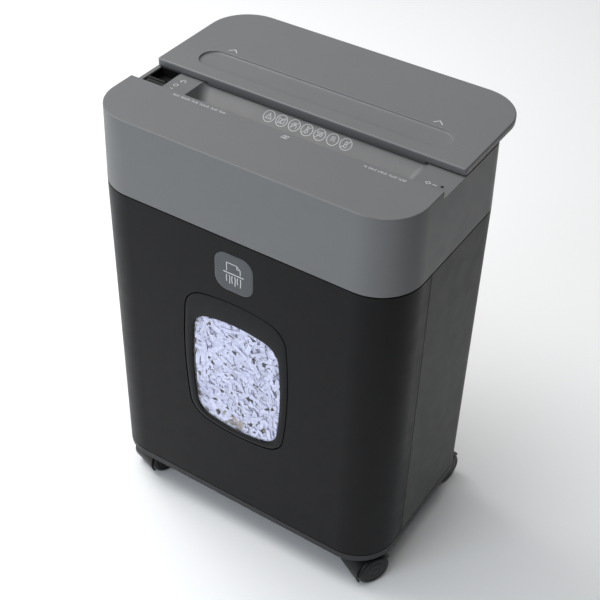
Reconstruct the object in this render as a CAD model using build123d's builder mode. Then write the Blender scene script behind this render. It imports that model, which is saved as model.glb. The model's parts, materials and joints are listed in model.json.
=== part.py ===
"""Cross-cut paper shredder: a grey head with a sliding lid on a black cabinet that holds a
pull-out bin and stands on four twin-wheel casters.

Millimetres. The origin is on the floor, midway between the four caster stems. +X is to the
user's right, -Y is the front where the bin pulls out, +Z is up. The lid is slid back, open.
"""

import os
from math import acos, atan2, cos, degrees, hypot, pi, radians, sin, sqrt, tan

from build123d import *

os.makedirs("parts", exist_ok=True)

# ---------------------------------------------------------------- driving dimensions
BODY_WIDTH = 355.0
BODY_DEPTH = 216.0
TOP = 505.0                     # top of the head above the floor
HEAD_BOTTOM = 420.0             # seam between head and cabinet
BASE_BOTTOM = 45.0              # underside of the base tray
BASE_RIM_TOP = 54.0
SEAM = 1.0                      # visible gap between casing parts
EDGE_R = 0.6                    # softened outer edges of the casing
WALL = 3.0
FRONT_CORNER_R = 47.0
REAR_CORNER_R = 38.0
HEAD_DRAFT = 2.0                # how far the head leans in at its top

HALF_X = BODY_WIDTH / 2
HALF_Y = BODY_DEPTH / 2
CABINET_TOP = HEAD_BOTTOM - SEAM
PANEL_BOTTOM = BASE_RIM_TOP + 0.8
SIDE_SEAM_Y = -44.0             # where the bin front meets the side panels

# lid and the channel that it uncovers
CHANNEL_FRONT = -34.0           # back edge of the front deck
DECK = TOP - 8.5                # lower deck, under the lid
LID_THICKNESS = 7.2
LID_BOTTOM = TOP - LID_THICKNESS
LID_WIDTH = BODY_WIDTH - 2 * HEAD_DRAFT
LID_TRAVEL = 41.0
LID_FRONT = CHANNEL_FRONT + 0.5 + LID_TRAVEL
LID_LENGTH = 141.0
LID_REAR = LID_FRONT + LID_LENGTH
LID_CORNER_R = 46.0
LID_SKIN = 2.5
GRIP_LENGTH, GRIP_WIDTH, GRIP_DEPTH = 288.0, 33.0, 2.4
GRIP_Y = LID_FRONT + 33.0
RUNNER_X, RUNNER_LENGTH, RUNNER_REAR = 158.0, 32.0, 84.0
RUNNER_SLOT = 5.0

# feed chute: a scoop in the deck that narrows to the paper slot
CHUTE_LEFT, CHUTE_RIGHT, CHUTE_REAR = -118.0, 139.0, 14.0
SLOT_LEFT, SLOT_RIGHT, SLOT_REAR = -104.0, 123.0, -25.0
SLOT_TOP = 469.0
THROAT_BOTTOM = 452.0
CHUTE_WALL = 3.0
SLOT_CENTRE_Y = (CHANNEL_FRONT + SLOT_REAR) / 2

# power slider in its well
WELL_LEFT, WELL_RIGHT, WELL_FRONT, WELL_REAR = -171.0, -146.0, -31.0, 8.5
WELL_X, WELL_Y = (WELL_LEFT + WELL_RIGHT) / 2, (WELL_FRONT + WELL_REAR) / 2
WELL_FLOOR_TOP = 487.0
KNOB_FRONT, KNOB_LENGTH, KNOB_WIDTH = -27.5, 14.0, 21.6
SWITCH_TRAVEL = 17.5
LENS_X, LENS_Y, LENS_R = 165.0, -17.7, 1.6

# cutting unit
CUTTER_Z = 430.0
DISC_R, SHAFT_R, CUTTER_SPACING = 19.0, 8.0, 30.0
DISC_THICKNESS, DISC_PITCH, DISC_COUNT = 3.7, 8.2, 27
DISC_FIRST_X = -100.0
FRONT_CUTTER_Y = SLOT_CENTRE_Y - CUTTER_SPACING / 2
REAR_CUTTER_Y = SLOT_CENTRE_Y + CUTTER_SPACING / 2
PLATE_THICKNESS = 2.5
LEFT_PLATE_X, RIGHT_PLATE_X = -109.5, 126.0       # inner-left faces of the two plates
RUNNING = 0.05                                    # radial clearance of a running fit
BUSH_R = 11.0

# gear train, in layers outside the right plate
FINE, COARSE = 1.0, 1.5                           # modules
SYNC_TEETH, DRIVE_TEETH, IDLER_PINION_TEETH = 20, 36, 16
IDLER_TEETH, MOTOR_PINION_TEETH = 54, 14
SYNC_X, DRIVE_X, IDLER_X = 130.0, 139.5, 151.0
SYNC_WIDTH, DRIVE_WIDTH, IDLER_WIDTH = 8.0, 10.0, 7.0
MOTOR_Y, MOTOR_Z, MOTOR_R, MOTOR_LENGTH = 50.0, 457.0, 30.0, 92.0
GEARBOX_COVER_X = 161.0

# head tray
TRAY_TOP, TRAY_BOTTOM = 424.0, 396.0
TUB_LEFT, TUB_RIGHT, TUB_FRONT, TUB_REAR = -120.0, 168.0, -78.0, 18.0

# bin interlock plunger, pressed up by a tab on the bin
LOCK_X, LOCK_Y, LOCK_R = -20.0, 92.5, 2.5

# bin
BIN_TRAVEL = 215.0
BIN_INSET = 6.5                                   # from the body outline to the tub
BIN_BOTTOM, BIN_TOP, BIN_WALL = 67.0, 392.0, 2.2
RAIL_X, RAIL_TOP = 110.0, BIN_BOTTOM - 0.4
WINDOW_BOTTOM, WINDOW_TOP, WINDOW_HALF = 167.0, 312.0, 53.0
BEZEL_BOTTOM, BEZEL_TOP, BEZEL_HALF = 156.5, 341.5, 64.0
BADGE_Z, BADGE_SIZE = 380.0, 46.0
BEZEL_GAP = 0.9
LENS_PLATE_Y = -HALF_Y + 2.0                      # outer face of the clear window

# casters
CASTER_X, CASTER_Y = 145.0, 86.0
WHEEL_R, WHEEL_WIDTH, WHEEL_INNER = 19.5, 14.0, 7.0
HOOD_R, HOOD_INNER_R, HOOD_HALF = 22.5, 20.3, 17.0
CASTER_TRAIL = 13.0
STEM_R, AXLE_R, WEB_HALF = 4.0, 3.0, 6.0
STEM_TOP = 62.0
CASTER_ANGLES = {"fl": -18.0, "fr": -27.0, "rl": 20.0, "rr": -10.0}
CASTER_SIDES = {"fl": (-1, -1), "fr": (1, -1), "rl": (-1, 1), "rr": (1, 1)}


# ---------------------------------------------------------------- helpers
def write(part, label):
    """Name a finished piece and write its STEP file."""
    part.label = label
    export_step(part, f"parts/{label}.step")


def footprint(inset, z):
    """The body's rounded plan outline, moved in by inset, at height z."""
    with BuildSketch(Plane.XY.offset(z)) as plan:
        Rectangle(BODY_WIDTH - 2 * inset, BODY_DEPTH - 2 * inset)
        fillet(plan.vertices().group_by(Axis.Y)[0], FRONT_CORNER_R - inset)
        fillet(plan.vertices().group_by(Axis.Y)[-1], REAR_CORNER_R - inset)
    return plan.sketch


def ring_wall(bottom, top, thickness=WALL):
    """An upright wall that follows the body outline, as a private part."""
    with BuildPart() as wall:
        add(footprint(0, bottom))
        extrude(amount=top - bottom)
        fillet(wall.faces().filter_by(Plane.XY).edges(), EDGE_R)
        add(footprint(thickness, bottom))
        extrude(amount=top - bottom, mode=Mode.SUBTRACT)
    return wall.part


def block(x0, x1, y0, y1, z0, z1, mode=Mode.ADD):
    """A box between two corners, added to the part being built."""
    with Locations(((x0 + x1) / 2, (y0 + y1) / 2, (z0 + z1) / 2)):
        Box(x1 - x0, y1 - y0, z1 - z0, mode=mode)


def across(x, y, z):
    """A sketch plane that faces +X at x, with its origin at y, z."""
    return Plane(origin=(x, y, z), x_dir=(0, 1, 0), z_dir=(1, 0, 0))


def gear_face(module, teeth, turn, plane, bore):
    """An involute gear outline with backlash, turned so that a tooth points along turn degrees."""
    pressure = radians(20)
    pitch_r = module * teeth / 2
    base_r = pitch_r * cos(pressure)
    tip_r, root_r = pitch_r + 0.95 * module, pitch_r - 1.2 * module
    tooth_share = 0.44                            # of the circular pitch, so teeth run free
    involute = tan(pressure) - pressure
    half_at_base = pi * tooth_share / teeth + involute

    def flank(radius):
        """Half the tooth's angle at a radius."""
        if radius <= base_r:
            return half_at_base
        roll = acos(base_r / radius)
        return half_at_base - (tan(roll) - roll)

    radii = [root_r - 0.3 * module] + [
        max(base_r, root_r) + (tip_r - max(base_r, root_r)) * k / 3 for k in range(4)
    ]
    left = [(r * cos(flank(r)), r * sin(flank(r))) for r in radii]
    right = [(x, -y) for x, y in reversed(left)]
    with BuildSketch(plane) as profile:
        Circle(root_r)
        with PolarLocations(0, teeth, start_angle=turn):
            Polygon(*left, *right, align=None)
        Circle(bore, mode=Mode.SUBTRACT)
    return profile.sketch


def window_curve(half_top, half_bottom, half_mid, bottom, top, crown, corner_r, plane):
    """A rounded shield shape with four gently bowed sides, on a sketch plane."""
    middle = (top + bottom) / 2
    with BuildSketch(plane) as shield:
        with BuildLine():
            ThreePointArc((-half_top, top - crown), (0, top), (half_top, top - crown))
            ThreePointArc((half_top, top - crown), (half_mid, middle), (half_bottom, bottom + crown))
            ThreePointArc((half_bottom, bottom + crown), (0, bottom), (-half_bottom, bottom + crown))
            ThreePointArc((-half_bottom, bottom + crown), (-half_mid, middle), (-half_top, top - crown))
        make_face()
        fillet(shield.vertices(), corner_r)
    return shield.sketch


def screw_part(places, radius, length, plane):
    """Pan-head screws with cross recesses, heads facing along the plane's normal."""
    with BuildPart() as screws:
        for x, y in places:
            seat = plane.offset(0)
            with BuildSketch(Plane(seat.from_local_coords((x, y, 0)), seat.x_dir, seat.z_dir)):
                Circle(radius * 1.9)
            extrude(amount=radius * 1.1)
            with BuildSketch(Plane(seat.from_local_coords((x, y, 0)), seat.x_dir, seat.z_dir)):
                Circle(radius)
            extrude(amount=-length)
            cross = seat.from_local_coords((x, y, radius * 1.1))
            with BuildSketch(Plane(cross, seat.x_dir, seat.z_dir)):
                Rectangle(radius * 2.2, radius * 0.5)
                Rectangle(radius * 0.5, radius * 2.2)
            extrude(amount=-radius * 0.7, mode=Mode.SUBTRACT)
    return screws.part


# ---------------------------------------------------------------- head cover
# The inside of the head: lower behind the front deck, where the lid's deck is.
with BuildPart() as head_cavity:
    loft(sections=[footprint(WALL, HEAD_BOTTOM), footprint(WALL + HEAD_DRAFT, TOP - WALL)])
    block(-HALF_X, HALF_X, CHANNEL_FRONT - WALL, HALF_Y, DECK - WALL, TOP, Mode.SUBTRACT)


def chute_prism(grow_rear, grow):
    """The chute's funnel and throat, grown outwards by the given amounts, as a private part."""
    with BuildPart() as funnel:
        with BuildSketch(Plane.XY.offset(DECK)) as mouth:
            with Locations(((CHUTE_LEFT + CHUTE_RIGHT) / 2,
                            (CHANNEL_FRONT - grow + CHUTE_REAR + grow_rear) / 2)):
                Rectangle(CHUTE_RIGHT - CHUTE_LEFT + 2 * grow,
                          CHUTE_REAR + grow_rear - CHANNEL_FRONT + grow)
        with BuildSketch(Plane.XY.offset(SLOT_TOP)) as neck:
            with Locations(((SLOT_LEFT + SLOT_RIGHT) / 2,
                            (CHANNEL_FRONT - grow + SLOT_REAR + grow) / 2)):
                Rectangle(SLOT_RIGHT - SLOT_LEFT + 2 * grow,
                          SLOT_REAR - CHANNEL_FRONT + 2 * grow)
        loft(ruled=True)
        if grow == 0:
            rear_corners = funnel.edges().filter_by(
                lambda edge: abs(edge.tangent_at(0.5).Z) > 0.1 and edge.center().Y > -20
            )
            fillet(rear_corners, 10)
        block(SLOT_LEFT - grow, SLOT_RIGHT + grow, CHANNEL_FRONT - grow, SLOT_REAR + grow,
              THROAT_BOTTOM, SLOT_TOP)
    return funnel.part


VENT_COUNT, VENT_PITCH, VENT_WIDTH, VENT_HEIGHT = 12, 8.0, 3.2, 26.0
VENT_X, VENT_Z = 60.0, 458.0
GLAND_X, GLAND_Z, GLAND_HOLE_R = -130.0, 446.0, 7.0

with BuildPart() as head_cover:
    loft(sections=[footprint(0, HEAD_BOTTOM), footprint(HEAD_DRAFT, TOP)])
    fillet(head_cover.faces().sort_by(Axis.Z)[-1].outer_wire().edges(), 2 * EDGE_R)
    fillet(head_cover.faces().sort_by(Axis.Z)[0].outer_wire().edges(), EDGE_R)
    block(-HALF_X, HALF_X, CHANNEL_FRONT, HALF_Y, DECK, TOP + 1, Mode.SUBTRACT)
    add(head_cavity.part, mode=Mode.SUBTRACT)
    add(chute_prism(4.0, CHUTE_WALL))
    add(chute_prism(0, 0), mode=Mode.SUBTRACT)
    # opening for the switch bezel, with a skirt round it
    block(WELL_LEFT, WELL_RIGHT, WELL_FRONT, WELL_REAR, DECK - 2 * WALL, DECK + 1, Mode.SUBTRACT)
    # indicator hole, runner slots
    with Locations((LENS_X, LENS_Y, DECK)):
        Cylinder(LENS_R + 0.1, 4 * WALL, mode=Mode.SUBTRACT)
    for side in (-1, 1):
        block(side * RUNNER_X - RUNNER_SLOT / 2, side * RUNNER_X + RUNNER_SLOT / 2,
              RUNNER_REAR - RUNNER_LENGTH - LID_TRAVEL - 0.6, RUNNER_REAR + 0.6,
              DECK - 2 * WALL, DECK + 1, Mode.SUBTRACT)
    # motor vents and the cord hole, through the back wall
    with BuildSketch(Plane.XZ.offset(-HALF_Y - 1)):
        with Locations((VENT_X, VENT_Z)):
            with GridLocations(VENT_PITCH, 1, VENT_COUNT, 1):
                SlotOverall(VENT_HEIGHT, VENT_WIDTH, rotation=90)
        with Locations((GLAND_X, GLAND_Z)):
            Circle(GLAND_HOLE_R)
    extrude(amount=3 * WALL, mode=Mode.SUBTRACT)
    # window in the throat for the paper sensor
    block(6.5, 13.5, SLOT_REAR - 1, SLOT_REAR + CHUTE_WALL + 1, THROAT_BOTTOM - 1,
          THROAT_BOTTOM + 13, Mode.SUBTRACT)
    # soften the edges of the step and of the lower deck
    fillet(head_cover.edges().filter_by(
        lambda edge: abs(edge.center().Z - TOP) < 0.01 and abs(edge.center().Y - CHANNEL_FRONT) < 0.01
    ), EDGE_R)
    fillet(head_cover.edges().filter_by(
        lambda edge: abs(edge.center().Z - DECK) < 0.01
        and (abs(edge.center().X) > HALF_X - 3 or edge.center().Y > 90)
    ), EDGE_R)
write(head_cover.part, "head_cover")

# ---------------------------------------------------------------- sliding lid
SKIRT_DROP, SKIRT_WIDTH = 3.0, 3.0
with BuildPart() as slide_lid:
    with BuildSketch(Plane.XY.offset(LID_BOTTOM)) as lid_plan:
        with Locations((0, (LID_FRONT + LID_REAR) / 2)):
            Rectangle(LID_WIDTH, LID_LENGTH)
        fillet(lid_plan.vertices().group_by(Axis.Y)[-1], LID_CORNER_R)
    extrude(amount=LID_THICKNESS)
    rim = slide_lid.faces().sort_by(Axis.Z)[-1].outer_wire().edges()
    fillet(rim, 0.9)
    with BuildSketch(Plane.XY.offset(LID_BOTTOM)) as hollow_plan:
        with Locations((0, (LID_FRONT + LID_REAR) / 2)):
            Rectangle(LID_WIDTH - 2 * WALL, LID_LENGTH - 2 * WALL)
        fillet(hollow_plan.vertices().group_by(Axis.Y)[-1], LID_CORNER_R - WALL)
    extrude(amount=LID_THICKNESS - LID_SKIN, mode=Mode.SUBTRACT)
    # solid pad under the finger grip, pads over the runners, stiffening ribs
    with BuildSketch(Plane.XY.offset(LID_BOTTOM)):
        with Locations((0, GRIP_Y)):
            SlotOverall(GRIP_LENGTH + 2 * WALL, GRIP_WIDTH + 2 * WALL)
        with Locations((0, RUNNER_REAR - RUNNER_LENGTH / 2)):
            with GridLocations(2 * RUNNER_X, 1, 2, 1):
                Rectangle(12, RUNNER_LENGTH)
        with Locations((0, LID_REAR - 45)):
            with GridLocations(56, 1, 5, 1):
                Rectangle(2, 80)
    extrude(amount=LID_THICKNESS - LID_SKIN)
    with BuildSketch(Plane.XY.offset(TOP)):
        with Locations((0, GRIP_Y)):
            SlotOverall(GRIP_LENGTH, GRIP_WIDTH)
    extrude(amount=-GRIP_DEPTH, mode=Mode.SUBTRACT)
    grip_floor = slide_lid.faces().filter_by(Plane.XY).filter_by(
        lambda face: abs(face.center().Z - (TOP - GRIP_DEPTH)) < 0.01
    )
    fillet(grip_floor.edges(), 1.4)
    # lip that reaches down into the chute
    block(CHUTE_LEFT + 5, CHUTE_RIGHT - 5, LID_FRONT + 0.6, LID_FRONT + SKIRT_WIDTH,
          LID_BOTTOM - SKIRT_DROP, LID_BOTTOM + 1)
write(slide_lid.part, "slide_lid")

FOOT_WIDTH, FOOT_THICKNESS, FOOT_GAP = 10.0, 2.5, 0.5
with BuildPart() as lid_runners:
    with GridLocations(2 * RUNNER_X, 1, 2, 1):
        with Locations((0, RUNNER_REAR - RUNNER_LENGTH / 2, 0)):
            with Locations((0, 0, (LID_BOTTOM + DECK - WALL - FOOT_GAP) / 2)):
                Box(RUNNER_SLOT - 1, RUNNER_LENGTH, LID_BOTTOM - DECK + WALL + FOOT_GAP)
            with Locations((0, 0, DECK - WALL - FOOT_GAP - FOOT_THICKNESS / 2)):
                Box(FOOT_WIDTH, RUNNER_LENGTH, FOOT_THICKNESS)
write(lid_runners.part, "lid_runners")

# ---------------------------------------------------------------- power switch and indicator
BEZEL_WALL = 1.2
STEM_HALF, STEM_Y = 2.0, KNOB_FRONT + KNOB_LENGTH / 2
with BuildPart() as switch_bezel:
    block(WELL_LEFT, WELL_RIGHT, WELL_FRONT, WELL_REAR, WELL_FLOOR_TOP - 1.5, DECK - 0.4)
    block(WELL_LEFT + BEZEL_WALL, WELL_RIGHT - BEZEL_WALL, WELL_FRONT + BEZEL_WALL,
          WELL_REAR - BEZEL_WALL, WELL_FLOOR_TOP, DECK, Mode.SUBTRACT)
    block(WELL_X - STEM_HALF - 0.6, WELL_X + STEM_HALF + 0.6, STEM_Y - 3.5,
          STEM_Y + SWITCH_TRAVEL + 3.5, WELL_FLOOR_TOP - 3, WELL_FLOOR_TOP + 1, Mode.SUBTRACT)
write(switch_bezel.part, "switch_bezel")

KNOB_TOP = DECK + 0.6
with BuildPart() as power_slider:
    # block with a raised ridge along its rear edge and grip grooves on its face
    with BuildSketch(Plane.YZ.offset(WELL_X - KNOB_WIDTH / 2)):
        Polygon((KNOB_FRONT, WELL_FLOOR_TOP + 0.3), (KNOB_FRONT, KNOB_TOP - 3.4),
                (KNOB_FRONT + KNOB_LENGTH - 3.2, KNOB_TOP - 1.8),
                (KNOB_FRONT + KNOB_LENGTH - 2.2, KNOB_TOP),
                (KNOB_FRONT + KNOB_LENGTH, KNOB_TOP),
                (KNOB_FRONT + KNOB_LENGTH, WELL_FLOOR_TOP + 0.3), align=None)
    extrude(amount=KNOB_WIDTH)
    fillet(power_slider.edges().filter_by(Axis.X).group_by(Axis.Z)[-1], 0.6)
    for groove in range(3):
        with Locations((WELL_X, KNOB_FRONT + 2.5 + 2.8 * groove, KNOB_TOP - 2.6)):
            Cylinder(0.5, KNOB_WIDTH - 5, rotation=(0, 90, 0), mode=Mode.SUBTRACT)
    block(WELL_X - STEM_HALF, WELL_X + STEM_HALF, STEM_Y - 2.2, STEM_Y + 2.2,
          WELL_FLOOR_TOP - 9, WELL_FLOOR_TOP + 1)
write(power_slider.part, "power_slider")

SWITCH_TOP = WELL_FLOOR_TOP - 1.5
with BuildPart() as power_switch:
    block(WELL_LEFT + 1, WELL_RIGHT - 1, WELL_FRONT + 2, WELL_REAR - 2, SWITCH_TOP - 20, SWITCH_TOP)
    fillet(power_switch.edges().filter_by(Axis.Z), 1.5)
    block(WELL_X - STEM_HALF - 0.6, WELL_X + STEM_HALF + 0.6, STEM_Y - 3.5,
          STEM_Y + SWITCH_TRAVEL + 3.5, SWITCH_TOP - 9, SWITCH_TOP + 1, Mode.SUBTRACT)
    with Locations((WELL_X, WELL_Y, SWITCH_TOP - 20)):
        with GridLocations(10, 8, 2, 3):
            Box(0.8, 4, 10)
write(power_switch.part, "power_switch")

with BuildPart() as ready_lens:
    with Locations((LENS_X, LENS_Y, DECK - 4.2)):
        Cylinder(LENS_R, 9.0)
    with Locations((LENS_X, LENS_Y, DECK - WALL - 2.5)):
        Cylinder(LENS_R + 1.6, 5.0)
    fillet(ready_lens.edges().group_by(Axis.Z)[-1], 0.5)
write(ready_lens.part, "ready_lens")

# ---------------------------------------------------------------- head tray
OUTLET_LEFT, OUTLET_RIGHT, OUTLET_FRONT, OUTLET_REAR = -106.0, 124.0, -56.0, -3.0
with BuildPart() as head_tray:
    add(footprint(WALL + 0.4, HEAD_BOTTOM + 0.4))
    extrude(amount=TRAY_TOP - HEAD_BOTTOM - 0.4)
    # posts that carry the cover, and lugs that locate the head between the side panels
    for side in (-1, 1):
        for post_y, post_top in ((-80, TOP - WALL), (93, DECK - WALL)):
            with Locations((side * 146, post_y, TRAY_TOP - 1)):
                Cylinder(5, post_top - TRAY_TOP + 1, align=(Align.CENTER, Align.CENTER, Align.MIN))
        lug = sorted((side * (HALF_X - WALL - 3), side * (HALF_X - WALL)))
        block(*lug, 20, 60, TRAY_BOTTOM, HEAD_BOTTOM - 1)
        neck = sorted((side * (HALF_X - WALL - 3), side * (HALF_X - WALL - 0.4)))
        block(*neck, 20, 60, HEAD_BOTTOM - 1, TRAY_TOP)
    block(TUB_LEFT, TUB_RIGHT, TUB_FRONT, TUB_REAR, TRAY_BOTTOM, TRAY_TOP)
    block(TUB_LEFT + 2.5, TUB_RIGHT - 2.5, TUB_FRONT + 2.5, TUB_REAR - 2.5,
          TRAY_BOTTOM + 2.5, TRAY_TOP + 1, Mode.SUBTRACT)
    block(OUTLET_LEFT, OUTLET_RIGHT, OUTLET_FRONT, OUTLET_REAR, TRAY_BOTTOM - 1,
          TRAY_BOTTOM + 3, Mode.SUBTRACT)
    with Locations((LOCK_X, LOCK_Y, HEAD_BOTTOM)):
        Cylinder(LOCK_R + 0.6, 20, mode=Mode.SUBTRACT)
write(head_tray.part, "head_tray")

# ---------------------------------------------------------------- cutting unit
RAIL_FRONT, PLATE_LOW_REAR, PLATE_REAR = -72.0, 14.0, 88.0
PLATE_BOTTOM, PLATE_STEP, PLATE_TOP = TRAY_BOTTOM + 2.5, 427.0, 465.0
TIE_ROD_R = 3.5
TIE_RODS = [(-66.0, 458.0), (-66.0, 406.0), (8.0, 408.0), (82.0, 433.0)]
CUTTER_YS = (FRONT_CUTTER_Y, REAR_CUTTER_Y)

# idler centre: where its two meshing distances cross, above the line of centres
idler_reach = COARSE * (DRIVE_TEETH + IDLER_PINION_TEETH) / 2
motor_reach = FINE * (IDLER_TEETH + MOTOR_PINION_TEETH) / 2
span = hypot(MOTOR_Y - REAR_CUTTER_Y, MOTOR_Z - CUTTER_Z)
along = (idler_reach**2 - motor_reach**2 + span**2) / (2 * span)
rise = sqrt(idler_reach**2 - along**2)
span_y, span_z = (MOTOR_Y - REAR_CUTTER_Y) / span, (MOTOR_Z - CUTTER_Z) / span
IDLER_Y = REAR_CUTTER_Y + along * span_y - rise * span_z
IDLER_Z = CUTTER_Z + along * span_z + rise * span_y
IDLER_AXLE_R = 4.0


def plate_sketch(x):
    """The steel side plate's outline with its shaft holes, on the plane at x."""
    with BuildSketch(Plane.YZ.offset(x)) as outline:
        Polygon((RAIL_FRONT, PLATE_BOTTOM), (PLATE_LOW_REAR, PLATE_BOTTOM),
                (PLATE_LOW_REAR, PLATE_STEP), (PLATE_REAR, PLATE_STEP),
                (PLATE_REAR, PLATE_TOP), (RAIL_FRONT, PLATE_TOP), align=None)
        fillet(outline.vertices().group_by(Axis.Y)[0], 6)
        with Locations(*[(y, CUTTER_Z) for y in CUTTER_YS]):
            Circle(BUSH_R, mode=Mode.SUBTRACT)
        with Locations(*TIE_RODS):
            Circle(TIE_ROD_R, mode=Mode.SUBTRACT)
    return outline.sketch


with BuildPart() as left_side_plate:
    extrude(plate_sketch(LEFT_PLATE_X), amount=PLATE_THICKNESS)
write(left_side_plate.part, "left_side_plate")

with BuildPart() as right_side_plate:
    extrude(plate_sketch(RIGHT_PLATE_X), amount=PLATE_THICKNESS)
    with BuildSketch(Plane.YZ.offset(RIGHT_PLATE_X - 1)):
        with Locations((MOTOR_Y, MOTOR_Z)):
            Circle(6)
        with Locations((IDLER_Y, IDLER_Z)):
            Circle(IDLER_AXLE_R)
    extrude(amount=PLATE_THICKNESS + 2, mode=Mode.SUBTRACT)
write(right_side_plate.part, "right_side_plate")

with BuildPart() as gearbox_cover:
    with BuildSketch(Plane.YZ.offset(GEARBOX_COVER_X)) as cover_outline:
        with BuildLine():
            Polyline((-60, 426), (10, 426), (10, 430), (66, 430), (66, 468), (40, 484),
                     (0, 484), (-40, 458), (-60, 448), close=True)
        make_face()
        with Locations((REAR_CUTTER_Y, CUTTER_Z)):
            Circle(SHAFT_R + RUNNING, mode=Mode.SUBTRACT)
        with Locations((IDLER_Y, IDLER_Z)):
            Circle(IDLER_AXLE_R, mode=Mode.SUBTRACT)
        with Locations((MOTOR_Y, MOTOR_Z)):
            Circle(3.2, mode=Mode.SUBTRACT)
    extrude(amount=PLATE_THICKNESS)
write(gearbox_cover.part, "gearbox_cover")

with BuildPart() as tie_rods:
    with BuildSketch(Plane.YZ.offset(LEFT_PLATE_X - 3)):
        with Locations(*TIE_RODS):
            Circle(TIE_ROD_R)
    extrude(amount=RIGHT_PLATE_X - LEFT_PLATE_X + PLATE_THICKNESS + 6)
    with BuildSketch(Plane.YZ.offset(LEFT_PLATE_X - 3)):
        with Locations(*TIE_RODS):
            RegularPolygon(5.5, 6)
    extrude(amount=3)
    with BuildSketch(Plane.YZ.offset(RIGHT_PLATE_X + PLATE_THICKNESS)):
        with Locations(*TIE_RODS):
            RegularPolygon(5.5, 6)
    extrude(amount=3)
write(tie_rods.part, "tie_rods")

with BuildPart() as shaft_bushes:
    for plate_x, flange_side in ((LEFT_PLATE_X, -1), (RIGHT_PLATE_X, -1)):
        for y in CUTTER_YS:
            with BuildSketch(across(plate_x, y, CUTTER_Z)):
                Circle(BUSH_R)
                Circle(SHAFT_R + RUNNING, mode=Mode.SUBTRACT)
            extrude(amount=PLATE_THICKNESS)
            with BuildSketch(across(plate_x, y, CUTTER_Z)):
                Circle(BUSH_R + 1.5)
                Circle(SHAFT_R + RUNNING, mode=Mode.SUBTRACT)
            extrude(amount=flange_side * 1.2)
write(shaft_bushes.part, "shaft_bushes")


def disc_stack(y, first_x, helix):
    """Hooked cutting discs on one shaft, each turned a little from the last."""
    with BuildPart() as stack:
        for k in range(DISC_COUNT):
            with BuildSketch(across(first_x + k * DISC_PITCH, y, CUTTER_Z)):
                Circle(DISC_R)
                with PolarLocations(DISC_R, 5, start_angle=helix * 9 * k):
                    Polygon((-3.2, 0.6), (0.5, 3.4), (0.5, 0.6), align=None, mode=Mode.SUBTRACT)
                Circle(SHAFT_R, mode=Mode.SUBTRACT)
            extrude(amount=DISC_THICKNESS)
    return stack.part


write(disc_stack(FRONT_CUTTER_Y, DISC_FIRST_X, 1), "front_cutter_discs")
write(disc_stack(REAR_CUTTER_Y, DISC_FIRST_X + DISC_PITCH / 2, -1), "rear_cutter_discs")

SHAFT_LEFT_X = LEFT_PLATE_X - 6
with BuildPart() as front_cutter_shaft:
    with BuildSketch(across(SHAFT_LEFT_X, FRONT_CUTTER_Y, CUTTER_Z)):
        Circle(SHAFT_R)
    extrude(amount=SYNC_X + SYNC_WIDTH + 1 - SHAFT_LEFT_X)
    chamfer(front_cutter_shaft.edges().filter_by(GeomType.CIRCLE), 0.8)
write(front_cutter_shaft.part, "front_cutter_shaft")

with BuildPart() as rear_cutter_shaft:
    with BuildSketch(across(SHAFT_LEFT_X, REAR_CUTTER_Y, CUTTER_Z)):
        Circle(SHAFT_R)
    extrude(amount=GEARBOX_COVER_X + PLATE_THICKNESS - SHAFT_LEFT_X)
    chamfer(rear_cutter_shaft.edges().filter_by(GeomType.CIRCLE), 0.8)
write(rear_cutter_shaft.part, "rear_cutter_shaft")

COMB_REACH, COMB_BACK = SHAFT_R + 1.5, DISC_R + 2.0
with BuildPart() as stripper_combs:
    for y, side, first in ((FRONT_CUTTER_Y, -1, DISC_FIRST_X),
                           (REAR_CUTTER_Y, 1, DISC_FIRST_X + DISC_PITCH / 2)):
        back = sorted((y + side * COMB_BACK, y + side * (COMB_BACK + 3)))
        finger = sorted((y + side * COMB_REACH, y + side * (COMB_BACK + 1)))
        block(LEFT_PLATE_X + PLATE_THICKNESS, RIGHT_PLATE_X, *back, CUTTER_Z - 12, CUTTER_Z + 4)
        middle = first + DISC_THICKNESS / 2 + DISC_PITCH * (DISC_COUNT - 1) / 2
        with Locations((middle, sum(finger) / 2, CUTTER_Z - 4)):
            with GridLocations(DISC_PITCH, 1, DISC_COUNT - 1, 1):
                Box(DISC_PITCH - DISC_THICKNESS - 0.6, finger[1] - finger[0], 8)
write(stripper_combs.part, "stripper_combs")

# ---------------------------------------------------------------- gears and motor
drive_turn = degrees(atan2(IDLER_Z - CUTTER_Z, IDLER_Y - REAR_CUTTER_Y))
idler_turn = degrees(atan2(MOTOR_Z - IDLER_Z, MOTOR_Y - IDLER_Y))
GEAR_STEP = 0.02                                  # keeps a bored gear off its shaft

with BuildPart() as front_sync_gear:
    extrude(gear_face(COARSE, SYNC_TEETH, 180 / SYNC_TEETH,
                  across(SYNC_X, FRONT_CUTTER_Y, CUTTER_Z), SHAFT_R),
            amount=SYNC_WIDTH)
write(front_sync_gear.part, "front_sync_gear")

with BuildPart() as rear_sync_gear:
    extrude(gear_face(COARSE, SYNC_TEETH, 0, across(SYNC_X, REAR_CUTTER_Y, CUTTER_Z), SHAFT_R),
            amount=SYNC_WIDTH)
write(rear_sync_gear.part, "rear_sync_gear")

with BuildPart() as drive_gear:
    extrude(gear_face(COARSE, DRIVE_TEETH, drive_turn,
                  across(DRIVE_X, REAR_CUTTER_Y, CUTTER_Z), SHAFT_R),
            amount=DRIVE_WIDTH)
    with BuildSketch(across(DRIVE_X, REAR_CUTTER_Y, CUTTER_Z)):
        with PolarLocations(17, 6):
            Circle(4.5)
    extrude(amount=DRIVE_WIDTH, mode=Mode.SUBTRACT)
write(drive_gear.part, "drive_gear")

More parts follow.
